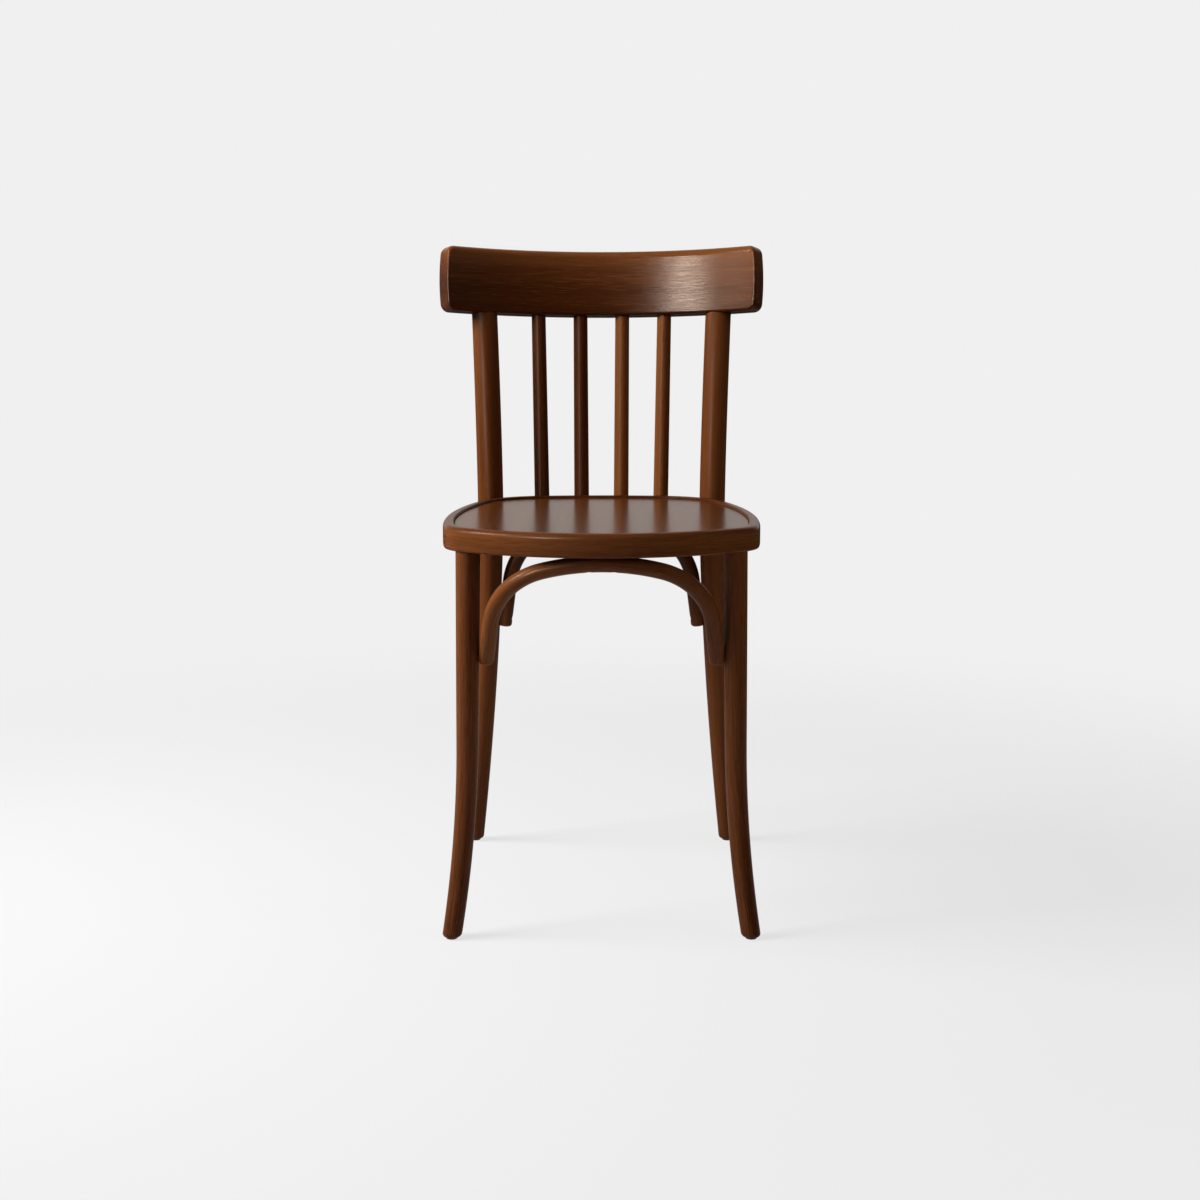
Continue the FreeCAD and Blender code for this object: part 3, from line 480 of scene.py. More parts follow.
def seat_outline(spacing):
    """Points of the hoop's outer edge and the outward direction at each, going round once."""
    front_turn = bearing(FRONT_CORNER_CENTRE - FRONT_CENTRE)
    side_start = bearing(FRONT_CORNER_CENTRE - SIDE_CENTRE)
    side_end = bearing(REAR_CORNER_CENTRE - SIDE_CENTRE)
    rear_turn = bearing(REAR_CORNER_CENTRE - REAR_CENTRE)
    right = [(FRONT_CORNER_CENTRE, FRONT_CORNER, front_turn, side_start),
             (SIDE_CENTRE, SIDE_BOW, side_start, side_end),
             (REAR_CORNER_CENTRE, REAR_CORNER, side_end, rear_turn)]
    left = [(centre * (-1, 1), radius, math.pi - end, math.pi - start)
            for centre, radius, start, end in reversed(right)]
    arcs = [(FRONT_CENTRE, FRONT_BOW, -math.pi - front_turn, front_turn), *right,
            (REAR_CENTRE, REAR_BOW, rear_turn, math.pi - rear_turn), *left]
    points, outward = [], []
    for centre, radius, start, end in arcs:
        count = math.ceil(radius * (end - start) / spacing)
        for i in range(count):
            way = heading(start + (end - start) * i / count)
            points.append(centre + way * radius)
            outward.append(way)
    return np.array(points), np.array(outward)


edge_points, edge_outward = seat_outline(1.0)
print("seat", np.round(np.ptp(edge_points, axis=0), 1), "mm, outline of", len(edge_points), "points")

# %% [markdown]
# ## The seat hoop
# The hoop is one bent rail with a rounded outer edge and a rebate cut for the panel. Its section is drawn
# once, as how far each point lies inside the outer edge and how high it is, and the sweep carries it round
# the outline. Each rounding gets a point just before and after it, so that the flat faces stay flat when
# they are shaded smoothly.

# %% The hoop's section
RAIL_WIDTH, RIM_WIDTH = 32.0, 13.0
HOOP_TOP_ROUND, HOOP_LOW_ROUND = 6.5, 2.5
LEDGE_HEIGHT = 461.0
HOLD = 0.35


def rounded_corner(corner, before, after, radius, steps=6):
    """Points of a rounded square corner, with a holding point at each end; the arrows are unit steps."""
    corner, before, after = np.array(corner), np.array(before), np.array(after)
    centre = corner - (before - after) * radius
    points = [centre - after * radius - before * HOLD]
    for i in range(steps + 1):
        turn = math.pi / 2 * i / steps
        points.append(centre + radius * (before * math.sin(turn) - after * math.cos(turn)))
    points.append(centre + before * radius + after * HOLD)
    return points


OUT, IN, UPWARD, DOWNWARD = (-1.0, 0.0), (1.0, 0.0), (0.0, 1.0), (0.0, -1.0)
hoop_section = [
    *rounded_corner((0.0, RING_BOTTOM), OUT, UPWARD, HOOP_LOW_ROUND),
    *rounded_corner((0.0, SEAT_TOP), UPWARD, IN, HOOP_TOP_ROUND, 8),
    *rounded_corner((RIM_WIDTH, SEAT_TOP), IN, DOWNWARD, 1.5, 4),
    (RIM_WIDTH, LEDGE_HEIGHT + HOLD), (RIM_WIDTH, LEDGE_HEIGHT), (RIM_WIDTH + HOLD, LEDGE_HEIGHT),
    *rounded_corner((RAIL_WIDTH, LEDGE_HEIGHT), IN, DOWNWARD, 0.6, 3),
    *rounded_corner((RAIL_WIDTH, RING_BOTTOM), DOWNWARD, OUT, HOOP_LOW_ROUND),
]
print("hoop section of", len(hoop_section), "points")

# %% The hoop
hoop_points, hoop_outward = seat_outline(4.0)
hoop_path = np.column_stack([hoop_points, np.zeros(len(hoop_points))])
hoop_side = np.column_stack([-hoop_outward, np.zeros(len(hoop_points))])
hoop_rise = np.tile([0.0, 0.0, 1.0], (len(hoop_points), 1))
seat_hoop = sweep("seat_hoop", hoop_path, hoop_side, hoop_rise, hoop_section, 11.0, -0.03, closed=True)
print("seat hoop:", len(seat_hoop.data.polygons), "faces")

# %% [markdown]
# ## Bores
# Screws sit in countersunk holes and the bolts in flat-bottomed ones. A Boolean modifier cuts them, as a
# drill would: each cutter is a small turned shape, made by spinning a profile about its axis. Points that
# the cut adds take their grain from the nearest old point.

# %% Bores
def loop_faces(loops, count):
    """Faces between closed loops that have equally many points, and the two flat ends' points."""
    faces = []
    for loop in range(loops - 1):
        for i in range(count):
            near, far = loop * count + i, loop * count + (i + 1) % count
            faces.append((near, far, far + count, near + count))
    last = (loops - 1) * count
    return faces, [tuple(range(count - 1, -1, -1)), tuple(range(last, last + count))]


def turned_cutter(start, way, profile, sides=32):
    """Vertices and faces of a turned shape; the profile is (radius, distance along the axis) pairs."""
    way = Vector(way).normalized()
    across = way.orthogonal().normalized()
    square = way.cross(across)
    points = []
    for radius, along in profile:
        for i in range(sides):
            turn = 2 * math.pi * i / sides
            spoke = across * math.cos(turn) + square * math.sin(turn)
            points.append(Vector(start) + way * along + spoke * radius)
    wall, ends = loop_faces(len(profile), sides)
    return points, wall + ends


def store_grain(mesh, grain, shift, stain):
    """Write grain coordinates, one row per point of the mesh, and how dark its stain is."""
    for name, kind, key, values in (("grain", "FLOAT_VECTOR", "vector", grain),
                                    ("grain_shift", "FLOAT", "value", shift),
                                    ("stain", "FLOAT", "value", np.full(len(shift), stain))):
        stored = mesh.attributes.get(name) or mesh.attributes.new(name, kind, "POINT")
        stored.data.foreach_set(key, np.asarray(values, dtype=np.float32).ravel())


def read_grain(mesh):
    count = len(mesh.vertices)
    grain = np.zeros(count * 3, np.float32)
    shift, stain = np.zeros(count, np.float32), np.zeros(count, np.float32)
    mesh.attributes["grain"].data.foreach_get("vector", grain)
    mesh.attributes["grain_shift"].data.foreach_get("value", shift)
    mesh.attributes["stain"].data.foreach_get("value", stain)
    return grain.reshape(-1, 3), shift, stain


def bore(piece, holes):
    """Cut holes, given as (start, way, profile) in millimetres, out of a piece."""
    points, faces = [], []
    for start, way, profile in holes:
        new_points, new_faces = turned_cutter(start, way, profile)
        faces += [tuple(len(points) + i for i in face) for face in new_faces]
        points += [point * MM for point in new_points]
    mesh = bpy.data.meshes.new("cutter")
    mesh.from_pydata(points, [], faces)
    tidy_mesh(mesh)
    cutter = add_piece("cutter", mesh)
    grain, shift, stain = read_grain(piece.data)
    tree = KDTree(len(piece.data.vertices))
    for i, vertex in enumerate(piece.data.vertices):
        tree.insert(vertex.co, i)
    tree.balance()
    modifier = piece.modifiers.new("bore", "BOOLEAN")
    modifier.object = cutter
    modifier.operation = "DIFFERENCE"
    modifier.solver = "EXACT"
    shown = piece.evaluated_get(bpy.context.evaluated_depsgraph_get())
    bored_mesh = bpy.data.meshes.new_from_object(shown)
    piece.modifiers.clear()
    uncut = piece.data
    piece.data = bored_mesh
    bpy.data.meshes.remove(uncut)
    bored_mesh.name = piece.name
    bpy.data.objects.remove(cutter)
    nearest = [tree.find(vertex.co)[1] for vertex in bored_mesh.vertices]
    store_grain(bored_mesh, grain[nearest], shift[nearest], stain[nearest])
    bored_mesh.shade_smooth()
    bored_mesh.set_sharp_from_angle(angle=math.radians(40))


SCREW_SINK = 0.8
SCREW_HOLE = [(3.9, -8.0), (3.9, 0.0), (2.1, 1.8)]
print("screw holes are", 2 * SCREW_HOLE[0][0], "mm wide")

# %% [markdown]
# ## Front legs
# Each front leg is turned, a little thicker at the top, and curves ahead and outwards towards the foot, where
# painted shade darkens it towards the floor.
# Its sections are level circles, so the path carries the same two level arrows all the way, only longer
# or shorter. The foot's rounding is a quarter circle of steps in both height and size. The left leg is
# the right one with its side turned over.

# %% Feet and level sections
# painted shade: legs and posts darken towards the floor, where less light reaches them
GLIDE_TOP, FOOT_ROUND, FOOT_PAINTED_SHADE = 2.0, 4.5, 0.14


def between(first, last, share):
    return first + (last - first) * min(max(share, 0.0), 1.0)


def rounded_start(radius, steps=8):
    """Distances along a rod and how much smaller it is there, for a rounded end."""
    turns = np.linspace(0, math.pi / 2, steps + 1)
    return [0.0, *(radius * (1 - np.cos(turns))), radius + HOLD], \
        [radius + HOLD, *(radius * (1 - np.sin(turns))), 0.0]


def upright_rod(name, side, axis, width, depth, heights, shift, stain, finish):
    """Rod of level sections from the glide up; side is 1 on the right and -1 on the left."""
    rounding, smaller = rounded_start(FOOT_ROUND)
    heights = np.array([GLIDE_TOP + z for z in rounding] + list(heights))
    smaller = np.array(smaller + [0.0] * (len(heights) - len(smaller)))
    path = np.array([axis(z) for z in heights]) * (side, 1, 1)
    half_width = np.array([width(z) / 2 for z in heights]) - smaller
    half_depth = np.array([depth(z) / 2 for z in heights]) - smaller
    return sweep(name, path, np.outer(half_width, (1, 0, 0)), np.outer(half_depth, (0, 1, 0)),
                 ROD_SECTION, shift, stain, FOOT_PAINTED_SHADE, finish=finish)


print("feet rounded by", FOOT_ROUND, "mm")

# %% Front legs
LEG_TOP_DIAMETER, LEG_FOOT_DIAMETER = 28.0, 22.4
LEG_SPLAY, LEG_AHEAD_PER_OUT, LEG_FLARE, LEG_FLARE_HEIGHT = 5.2, 1.4, 16.0, 220.0
LEG_NORMAL = heading(-math.radians(49.6))
LEG_TOP = FRONT_CORNER_CENTRE + LEG_NORMAL * (FRONT_CORNER - 16.5)
IN_WOOD = 1.5


def leg_axis(z):
    flare = max(0.0, (LEG_FLARE_HEIGHT - z) / LEG_FLARE_HEIGHT) ** 2
    out = LEG_SPLAY * (RING_BOTTOM - z) / RING_BOTTOM + LEG_FLARE * flare
    return np.array([LEG_TOP[0] + out, LEG_TOP[1] - out * LEG_AHEAD_PER_OUT, z])


def leg_width(z):
    return between(LEG_FOOT_DIAMETER, LEG_TOP_DIAMETER, z / RING_BOTTOM)


leg_heights = np.linspace(8.0, RING_BOTTOM + IN_WOOD, 74)
front_legs = [
    upright_rod("leg_front_" + word, side, leg_axis, leg_width, leg_width, leg_heights,
                shift, stain, satin_beech)
    for word, side, shift, stain in (("left", -1, 23.0, 0.0), ("right", 1, 37.0, -0.03))]
print("front legs:", [len(leg.data.polygons) for leg in front_legs], "faces")

# %% [markdown]
# ## The leaning crest's frame
# The crest board is bent round an axis in front of it, and the axis leans back with the chair. Posts and
# spindles end on its underside, so its directions come first.

# %% The crest's frame
LEAN = math.radians(9.0)
CREST_BACK = np.array([0.0, math.cos(LEAN), -math.sin(LEAN)])
CREST_UP = np.array([0.0, math.sin(LEAN), math.cos(LEAN)])
RING_MIDDLE = (SEAT_TOP + RING_BOTTOM) / 2
CREST_UNDERSIDE, CREST_RADIUS = 695.3, 400.0
SPINDLE_OUT = 4.5
CREST_MIDDLE = np.array([0.0, SEAT_MIDDLE + SEAT_DEPTH / 2 + SPINDLE_OUT
                         + (CREST_UNDERSIDE - RING_MIDDLE) * math.tan(LEAN), CREST_UNDERSIDE])
CREST_AXIS = CREST_MIDDLE - CREST_BACK * CREST_RADIUS


def crest_seat(x):
    """Middle of the crest's underside at a distance from the chair's middle."""
    turn = math.asin(x / CREST_RADIUS)
    return CREST_AXIS + CREST_RADIUS * (np.array([math.sin(turn), 0, 0]) + CREST_BACK * math.cos(turn))


print("crest underside at", np.round(crest_seat(0.0), 1))

# %% [markdown]
# ## Fitting rods to the hoop and the crest
# Posts and spindles are notched to lie against the hoop, and they stop inside the crest. In mesh terms:
# any point that would lie inside the hoop is pushed out to its surface, rounding included, and any point
# above the crest's underside is brought down to just inside it.

# %% Fitting rods
def read_points(piece):
    points = np.zeros(len(piece.data.vertices) * 3)
    piece.data.vertices.foreach_get("co", points)
    return points.reshape(-1, 3) / MM


def write_points(piece, points):
    piece.data.vertices.foreach_set("co", (points * MM).ravel())
    piece.data.update()


def hoop_inset(z):
    """How far the hoop's outer face lies inside its outline at a height."""
    above = np.clip(z - (SEAT_TOP - HOOP_TOP_ROUND), 0.0, HOOP_TOP_ROUND)
    below = np.clip(RING_BOTTOM + HOOP_LOW_ROUND - z, 0.0, HOOP_LOW_ROUND)
    return HOOP_TOP_ROUND - np.sqrt(HOOP_TOP_ROUND ** 2 - above ** 2) \
        + HOOP_LOW_ROUND - np.sqrt(HOOP_LOW_ROUND ** 2 - below ** 2)


def lap_on_hoop(piece):
    points = read_points(piece)
    beside = np.flatnonzero((points[:, 2] > RING_BOTTOM - 1e-6) & (points[:, 2] < SEAT_TOP))
    gaps = points[beside, None, :2] - edge_points[None]
    nearest = np.argmin((gaps ** 2).sum(axis=2), axis=1)
    outward = edge_outward[nearest]
    inside = -(gaps[np.arange(len(beside)), nearest] * outward).sum(axis=1)
    push = np.maximum(0.0, inside - hoop_inset(points[beside, 2]) + 0.02)
    points[beside, :2] += outward * push[:, None]
    write_points(piece, points)


def stop_in_crest(piece, deep=3.0):
    points = read_points(piece)
    over = np.maximum(0.0, (points - CREST_MIDDLE) @ CREST_UP - deep)
    write_points(piece, points - over[:, None] * CREST_UP)


print("rods lap on", len(edge_points), "points of the hoop")

# %% [markdown]
# ## Back posts
# Rear leg and upright are one bent piece. It is round at the seat, tapers to the foot, and is shaved
# thinner from front to back towards the crest. It stands upright at the hoop and bends back above and
# below it. A bolt clamps it to the hoop, with its domed head let into the back of the post.

# %% Back posts
POST_DIAMETER, POST_FOOT_DIAMETER, POST_TOP_DEPTH = 32.4, 22.0, 24.0
POST_NORMAL = heading(math.radians(44.6))
POST_AT_SEAT = REAR_CORNER_CENTRE + POST_NORMAL * (REAR_CORNER + POST_DIAMETER / 2 - 6.0)
POST_FOOT_REACH = np.array([28.2, 72.5])
POST_TOP = crest_seat(297.4 / 2)


def post_axis(z):
    if z >= RING_MIDDLE:
        reach = (POST_TOP[:2] - POST_AT_SEAT) * ((z - RING_MIDDLE) / (POST_TOP[2] - RING_MIDDLE)) ** 1.4
    else:
        reach = POST_FOOT_REACH * ((RING_MIDDLE - z) / RING_MIDDLE) ** 1.7
    return np.array([*(POST_AT_SEAT + reach), z])


def post_width(z):
    return between(POST_FOOT_DIAMETER, POST_DIAMETER, z / RING_BOTTOM)


def post_depth(z):
    if z <= SEAT_TOP:
        return post_width(z)
    return between(POST_DIAMETER, POST_TOP_DEPTH, (z - SEAT_TOP) / (POST_TOP[2] - SEAT_TOP))


post_heights = [*np.linspace(8.0, 437.0, 68), *np.linspace(438.0, 474.0, 37),
                *np.linspace(480.0, POST_TOP[2] - 4.0, 36), POST_TOP[2] + 9.0]
BOLT_HEIGHT = 452.0
bolt_seat = POST_AT_SEAT + POST_NORMAL * (POST_DIAMETER / 2 - 4.0)
back_posts = []
for word, side, shift, stain in (("left", -1, 51.0, 0.0), ("right", 1, 67.0, 0.0)):
    post = upright_rod("post_" + word, side, post_axis, post_width, post_depth, post_heights,
                       shift, stain, matt_beech)
    lap_on_hoop(post)
    stop_in_crest(post)
    bolt_way = (side * POST_NORMAL[0], POST_NORMAL[1], 0.0)
    bore(post, [((side * bolt_seat[0], bolt_seat[1], BOLT_HEIGHT), bolt_way, [(9.1, 0.0), (9.1, 18.0)])])
    back_posts.append(post)
print("back posts:", [len(post.data.polygons) for post in back_posts], "faces")

# %% [markdown]
# ## Spindles
# Four turned rods lap on the back of the hoop and fan out a little to the crest. Their paths are straight,
# so the arrows only have to be square to the path. Points are closer together beside the hoop, where the
# notch is.

# %% Spindles
SPINDLE_SEAT_RADIUS, SPINDLE_CREST_RADIUS = 9.5, 9.0


def spindle_ends(place):
    x = place * 50.7
    seat = np.array([x, REAR_CENTRE[1] + math.sqrt((REAR_BOW + SPINDLE_OUT) ** 2 - x ** 2), RING_MIDDLE])
    return seat, crest_seat(place * 53.7)


def make_spindle(name, place, shift, stain):
    seat, crest = spindle_ends(place)
    way = (crest - seat) / np.linalg.norm(crest - seat)
    foot = seat - way * (RING_MIDDLE - RING_BOTTOM) / way[2]
    length = np.linalg.norm(crest - foot)
    rounding, smaller = rounded_start(2.0)
    along = np.array([*rounding, *np.linspace(3.0, 32.0, 30), *np.linspace(36.0, length - 3.0, 28),
                      length + 7.0])
    smaller = np.array(smaller + [0.0] * (len(along) - len(smaller)))
    taper = SPINDLE_CREST_RADIUS - SPINDLE_SEAT_RADIUS
    radius = SPINDLE_SEAT_RADIUS + taper * along / length - smaller
    side = np.cross((0.0, 1.0, 0.0), way)
    side /= np.linalg.norm(side)
    spindle = sweep(name, foot + np.outer(along, way), np.outer(radius, side),
                    np.outer(radius, np.cross(way, side)), ROD_SECTION, shift, stain, finish=matt_beech)
    lap_on_hoop(spindle)
    stop_in_crest(spindle)
    return spindle


SPINDLES = (("outer_left", -1.5, 83.0, 0.15), ("inner_left", -0.5, 97.0, 0.2),
            ("inner_right", 0.5, 113.0, -0.18), ("outer_right", 1.5, 131.0, -0.17))
spindles = [make_spindle("rod_" + word, place, shift, stain) for word, place, shift, stain in SPINDLES]
print("spindles:", [len(spindle.data.polygons) for spindle in spindles], "faces")

# %% [markdown]
# ## Arches
# Each arch is a rod bent from one leg up under the hoop and down to the other leg: slanted straight ends,
# a tight bend, and a flatter crown. All of it lies in one leaning plane, so one arrow points away from the
# bend's centre and the other square to the plane. The ends are saddled to the legs and the crown is
# planed flat where it meets the hoop. Painted shade darkens the rear arch towards its crown, under the seat.

# %% Arches
ARCH_RADIUS, ARCH_CROWN_BEND, ARCH_CORNER_BEND, ARCH_END_ROUND = 9.25, 246.0, 80.0, 3.5
ARCH_SLANT = math.radians(7.5)
ARCH_CROWN_HEIGHT = RING_BOTTOM + 1.0 - ARCH_RADIUS


def arch_half(end_x, height):
    """Right half of an arch in its plane: points from the end to the crown, and their outward arrows."""
    leg, square = np.array([-math.sin(ARCH_SLANT), math.cos(ARCH_SLANT)]), heading(ARCH_SLANT)
    foot, crown_centre = np.array([end_x, 0.0]), np.array([0.0, height - ARCH_CROWN_BEND])
    offset = foot - square * ARCH_CORNER_BEND - crown_centre
    along = offset @ leg
    reach = ARCH_CROWN_BEND - ARCH_CORNER_BEND
    straight = math.sqrt(along ** 2 - offset @ offset + reach ** 2) - along
    corner_centre = foot - square * ARCH_CORNER_BEND + leg * straight
    crown_turn = bearing(corner_centre - crown_centre)
    rounding, smaller = rounded_start(ARCH_END_ROUND)
    runs = [*rounding, *np.linspace(ARCH_END_ROUND + 1.0, straight, 24)[:-1]]
    points = [foot + leg * run for run in runs]
    outward = [square] * len(runs)
    for centre, radius, start, end, count in (
            (corner_centre, ARCH_CORNER_BEND, ARCH_SLANT, crown_turn, 30),
            (crown_centre, ARCH_CROWN_BEND, crown_turn, math.pi / 2, 36)):
        for turn in np.linspace(start, end, count, endpoint=False):
            points.append(centre + heading(turn) * radius)
            outward.append(heading(turn))
    points.append(np.array([0.0, height]))
    outward.append(heading(math.pi / 2))
    return np.array(points), np.array(outward), np.array(smaller + [0.0] * (len(points) - len(smaller)))


def saddle(piece, axis, width):
    """Push the points of a piece out of the two legs that it meets."""
    points = read_points(piece)
    for i, (x, y, z) in enumerate(points):
        centre = axis(z) * (math.copysign(1, x), 1, 1)
        apart = np.array([x, y]) - centre[:2]
        distance = np.linalg.norm(apart)
        if distance < width(z) / 2 + 0.02:
            points[i, :2] = centre[:2] + apart / distance * (width(z) / 2 + 0.02)
    points[:, 2] = np.minimum(points[:, 2], RING_BOTTOM - 0.02)
    write_points(piece, points)


def shade_by_height(piece, heights, stains):
    """Darken a piece with painted shade by an amount that depends on the height."""
    grain, shift, stain = read_grain(piece.data)
    stain += np.interp(read_points(piece)[:, 2], heights, stains)
    store_grain(piece.data, grain, shift, stain)


def make_arch(name, axis, width, end_height, let_in, crown_y, shift, stain, crown_painted_shade=0.0):
    centre = axis(end_height)
    end = np.array([centre[0] - width(end_height) / 2 - ARCH_RADIUS + let_in, centre[1], end_height])
    lean = np.array([0.0, crown_y - end[1], ARCH_CROWN_HEIGHT - end_height])
    height = np.linalg.norm(lean)
    up = lean / height
    half, outward, smaller = arch_half(end[0], height)
    half = np.vstack([half, half[-2::-1] * (-1, 1)])
    outward = np.vstack([outward, outward[-2::-1] * (-1, 1)])
    radius = ARCH_RADIUS - np.concatenate([smaller, smaller[-2::-1]])
    path = np.array([0.0, *end[1:]]) + np.outer(half[:, 0], (1, 0, 0)) + np.outer(half[:, 1], up)
    side = np.outer(outward[:, 0], (1, 0, 0)) + np.outer(outward[:, 1], up)
    arch = sweep(name, path, side * radius[:, None], np.outer(radius, np.cross((1, 0, 0), up)),
                 ROD_SECTION, shift, stain)
    saddle(arch, axis, width)
    # painted shade: the rear arch darkens towards its crown, where the seat shades it
    shade_by_height(arch, (end_height, ARCH_CROWN_HEIGHT), (0.0, crown_painted_shade))
    level = end_height + 9.0
    face_x = end[0] - 9.0 * math.tan(ARCH_SLANT) - ARCH_RADIUS + SCREW_SINK
    crown_face = ARCH_CROWN_HEIGHT - ARCH_RADIUS + SCREW_SINK
    holes = []
    for side in (-1, 1):
        holes.append(((side * face_x, axis(level)[1], level), (side, 0, 0), SCREW_HOLE))
        holes.append(((side * 14.0, crown_y, crown_face), (0, 0, 1), SCREW_HOLE))
    bore(arch, holes)
    return arch


CROWN_FROM_MIDDLE = SEAT_DEPTH / 2 - 19.0
arch_front = make_arch("arch_front", leg_axis, leg_width, 316.0, 2.0,
                       SEAT_MIDDLE - CROWN_FROM_MIDDLE, 149.0, -0.05)
arch_rear = make_arch("arch_rear", post_axis, post_width, 302.0, 3.5,
                      SEAT_MIDDLE + CROWN_FROM_MIDDLE, 167.0, 0.05, 0.4)
print("arches:", len(arch_front.data.polygons), "and", len(arch_rear.data.polygons), "faces")

# %% [markdown]
# ## Holes and painted shade in the hoop
# From inside, screws go through the hoop into the spindles and the front legs' tenons, and the posts' bolts
# come out in flat seats for their washers. Painted shade darkens the rim's level top, like the panel beside
# it, and fades out over the rounding.

# %% Holes and painted shade in the hoop
RIM_TOP_SHADE = 0.2
hoop_holes = []
for _, place, _, _ in SPINDLES:
    seat, _ = spindle_ends(place)
    way = (seat[:2] - REAR_CENTRE) / np.linalg.norm(seat[:2] - REAR_CENTRE)
    start = REAR_CENTRE + way * (REAR_BOW - RAIL_WIDTH + SCREW_SINK)
    hoop_holes.append(((*start, BOLT_HEIGHT), (*way, 0.0), SCREW_HOLE))
for side in (-1, 1):
    lock = FRONT_CORNER_CENTRE + LEG_NORMAL * (FRONT_CORNER - RAIL_WIDTH + SCREW_SINK)
    lock_way = (side * LEG_NORMAL[0], LEG_NORMAL[1], 0.0)
    hoop_holes.append(((side * lock[0], lock[1], 450.0), lock_way, SCREW_HOLE))
    washer = REAR_CORNER_CENTRE + POST_NORMAL * (REAR_CORNER - RAIL_WIDTH + 1.2)
    washer_way = (-side * POST_NORMAL[0], -POST_NORMAL[1], 0.0)
    hoop_holes.append(((side * washer[0], washer[1], BOLT_HEIGHT), washer_way, [(8.6, 0.0), (8.6, 17.0)]))
# painted shade on the rim's top face, fading out over the rounding
shade_by_height(seat_hoop, (SEAT_TOP - HOOP_TOP_ROUND, SEAT_TOP), (0.0, RIM_TOP_SHADE))
bore(seat_hoop, hoop_holes)
print("hoop with", len(hoop_holes), "holes:", len(seat_hoop.data.polygons), "faces")

# %% [markdown]
# ## Seat panel
# A flat sheet of plywood let into the hoop's rebate, a little below the rim, with a narrow groove round
# it. It is made from loops parallel to the hoop: up the edge, over a small rounding and onto the flat,
# which one large face closes. Its grain runs from front to back.

# %% Seat panel
PANEL_INSET, PANEL_TOP, PANEL_ROUND = 13.2, 467.0, 0.8


def make_panel():
    points, outward = seat_outline(4.0)
    turns = np.linspace(0, math.pi / 2, 5)
    loops = [(0.0, LEDGE_HEIGHT + 0.01), (0.0, PANEL_TOP - PANEL_ROUND - HOLD)]
    loops += [(PANEL_ROUND * (1 - math.cos(turn)), PANEL_TOP - PANEL_ROUND * (1 - math.sin(turn)))
              for turn in turns]
    loops.append((PANEL_ROUND + 2 * HOLD, PANEL_TOP))
    vertices = []
    for inset, z in loops:
        flat = points - outward * (PANEL_INSET + inset)
        vertices += [(x * MM, y * MM, z * MM) for x, y in flat]
    wall, ends = loop_faces(len(loops), len(points))
    mesh = bpy.data.meshes.new("panel")
    mesh.from_pydata(vertices, [], wall + ends)
    tidy_mesh(mesh)
    places = np.array([vertex.co for vertex in mesh.vertices])
    grain = places[:, [0, 2, 1]] / (GRAIN_ACROSS, GRAIN_ACROSS, GRAIN_ALONG)
    store_grain(mesh, grain, np.full(len(places), 181.0), 0.0)
    mesh.materials.append(seat_veneer)
    return add_piece("panel", mesh)


panel = make_panel()
print("panel:", len(panel.data.polygons), "faces")

# %% [markdown]
# ## Crest rail
# A wide board bent to a shallow curve, with slightly bowed ends and soft corners. The top front edge is
# rounded off most, where a hand takes hold of it. The board is drawn flat: an outline of arcs, loops that
# step over the rounded edges, and a grid inside that is blended from its four sides. Then every point is
# bent round the leaning axis, and the grain, stored while it was flat, bends with it. Painted light makes the
# stain paler along the top and a little towards the right, painted shade darkens it towards the bottom, and
# the end grain is darker.

# %% The board's outline
CREST_HEIGHT, CREST_THICKNESS = 82.8, 26.0
CREST_HALF = CREST_RADIUS * math.asin(206.5 / 413.0)
END_BOW, CORNER_ROUND = 320.0, 11.0
ALONG_STEPS, END_STEPS, CORNER_STEPS = 120, 14, 6


def board_sides():
    """Bottom, right, top and left sides of the flat board, each from mid corner to mid corner."""
    middle = CREST_HEIGHT / 2
    bow_centre = np.array([CREST_HALF - END_BOW, middle])
    reach = END_BOW - CORNER_ROUND
    corner_x = bow_centre[0] + math.sqrt(reach ** 2 - (middle - CORNER_ROUND) ** 2)
    low, high = np.array([corner_x, CORNER_ROUND]), np.array([corner_x, CREST_HEIGHT - CORNER_ROUND])
    bow_turn = bearing(high - bow_centre)
    split = (math.pi / 2 + bow_turn) / 2

    def arc(centre, radius, start, end, steps):
        ways = [heading(start + (end - start) * i / steps) for i in range(steps + 1)]
        return [(centre + way * radius, way) for way in ways]

    right = arc(low, CORNER_ROUND, -split, -bow_turn, CORNER_STEPS)[:-1] \
        + arc(bow_centre, END_BOW, -bow_turn, bow_turn, END_STEPS) \
        + arc(high, CORNER_ROUND, bow_turn, split, CORNER_STEPS)[1:]
    half_bottom = [(np.array([corner_x * i / ALONG_STEPS, 0.0]), np.array([0.0, -1.0]))
                   for i in range(ALONG_STEPS)] \
        + arc(low, CORNER_ROUND, -math.pi / 2, -split, CORNER_STEPS)

    def turned(side, flip_x, flip_y):
        sign = np.array([flip_x, flip_y])
        shift = np.array([0.0, CREST_HEIGHT if flip_y < 0 else 0.0])
        return [(point * sign + shift, way * sign) for point, way in side]

    bottom = turned(half_bottom, -1, 1)[:0:-1] + half_bottom
    top = turned(bottom, -1, -1)
    left = turned(right, -1, -1)
    return bottom, right, top, left


sides = board_sides()
outline = [item for side in sides for item in side[:-1]]
board_points = np.array([point for point, _ in outline])
board_outward = np.array([way for _, way in outline])
print("board outline of", len(outline), "points,", np.round(np.ptp(board_points, axis=0), 1), "mm")

# %% The board
EDGE_STEPS = 8
# painted light and shade: paler along the top, where light from above falls, and darker towards the bottom
LIT_TOP_DEPTHS = (0.0, 10.0, 22.0, 40.0, 60.0)
LIT_TOP_SHADES = (-0.1, 0.03, 0.13, 0.2, 0.26)
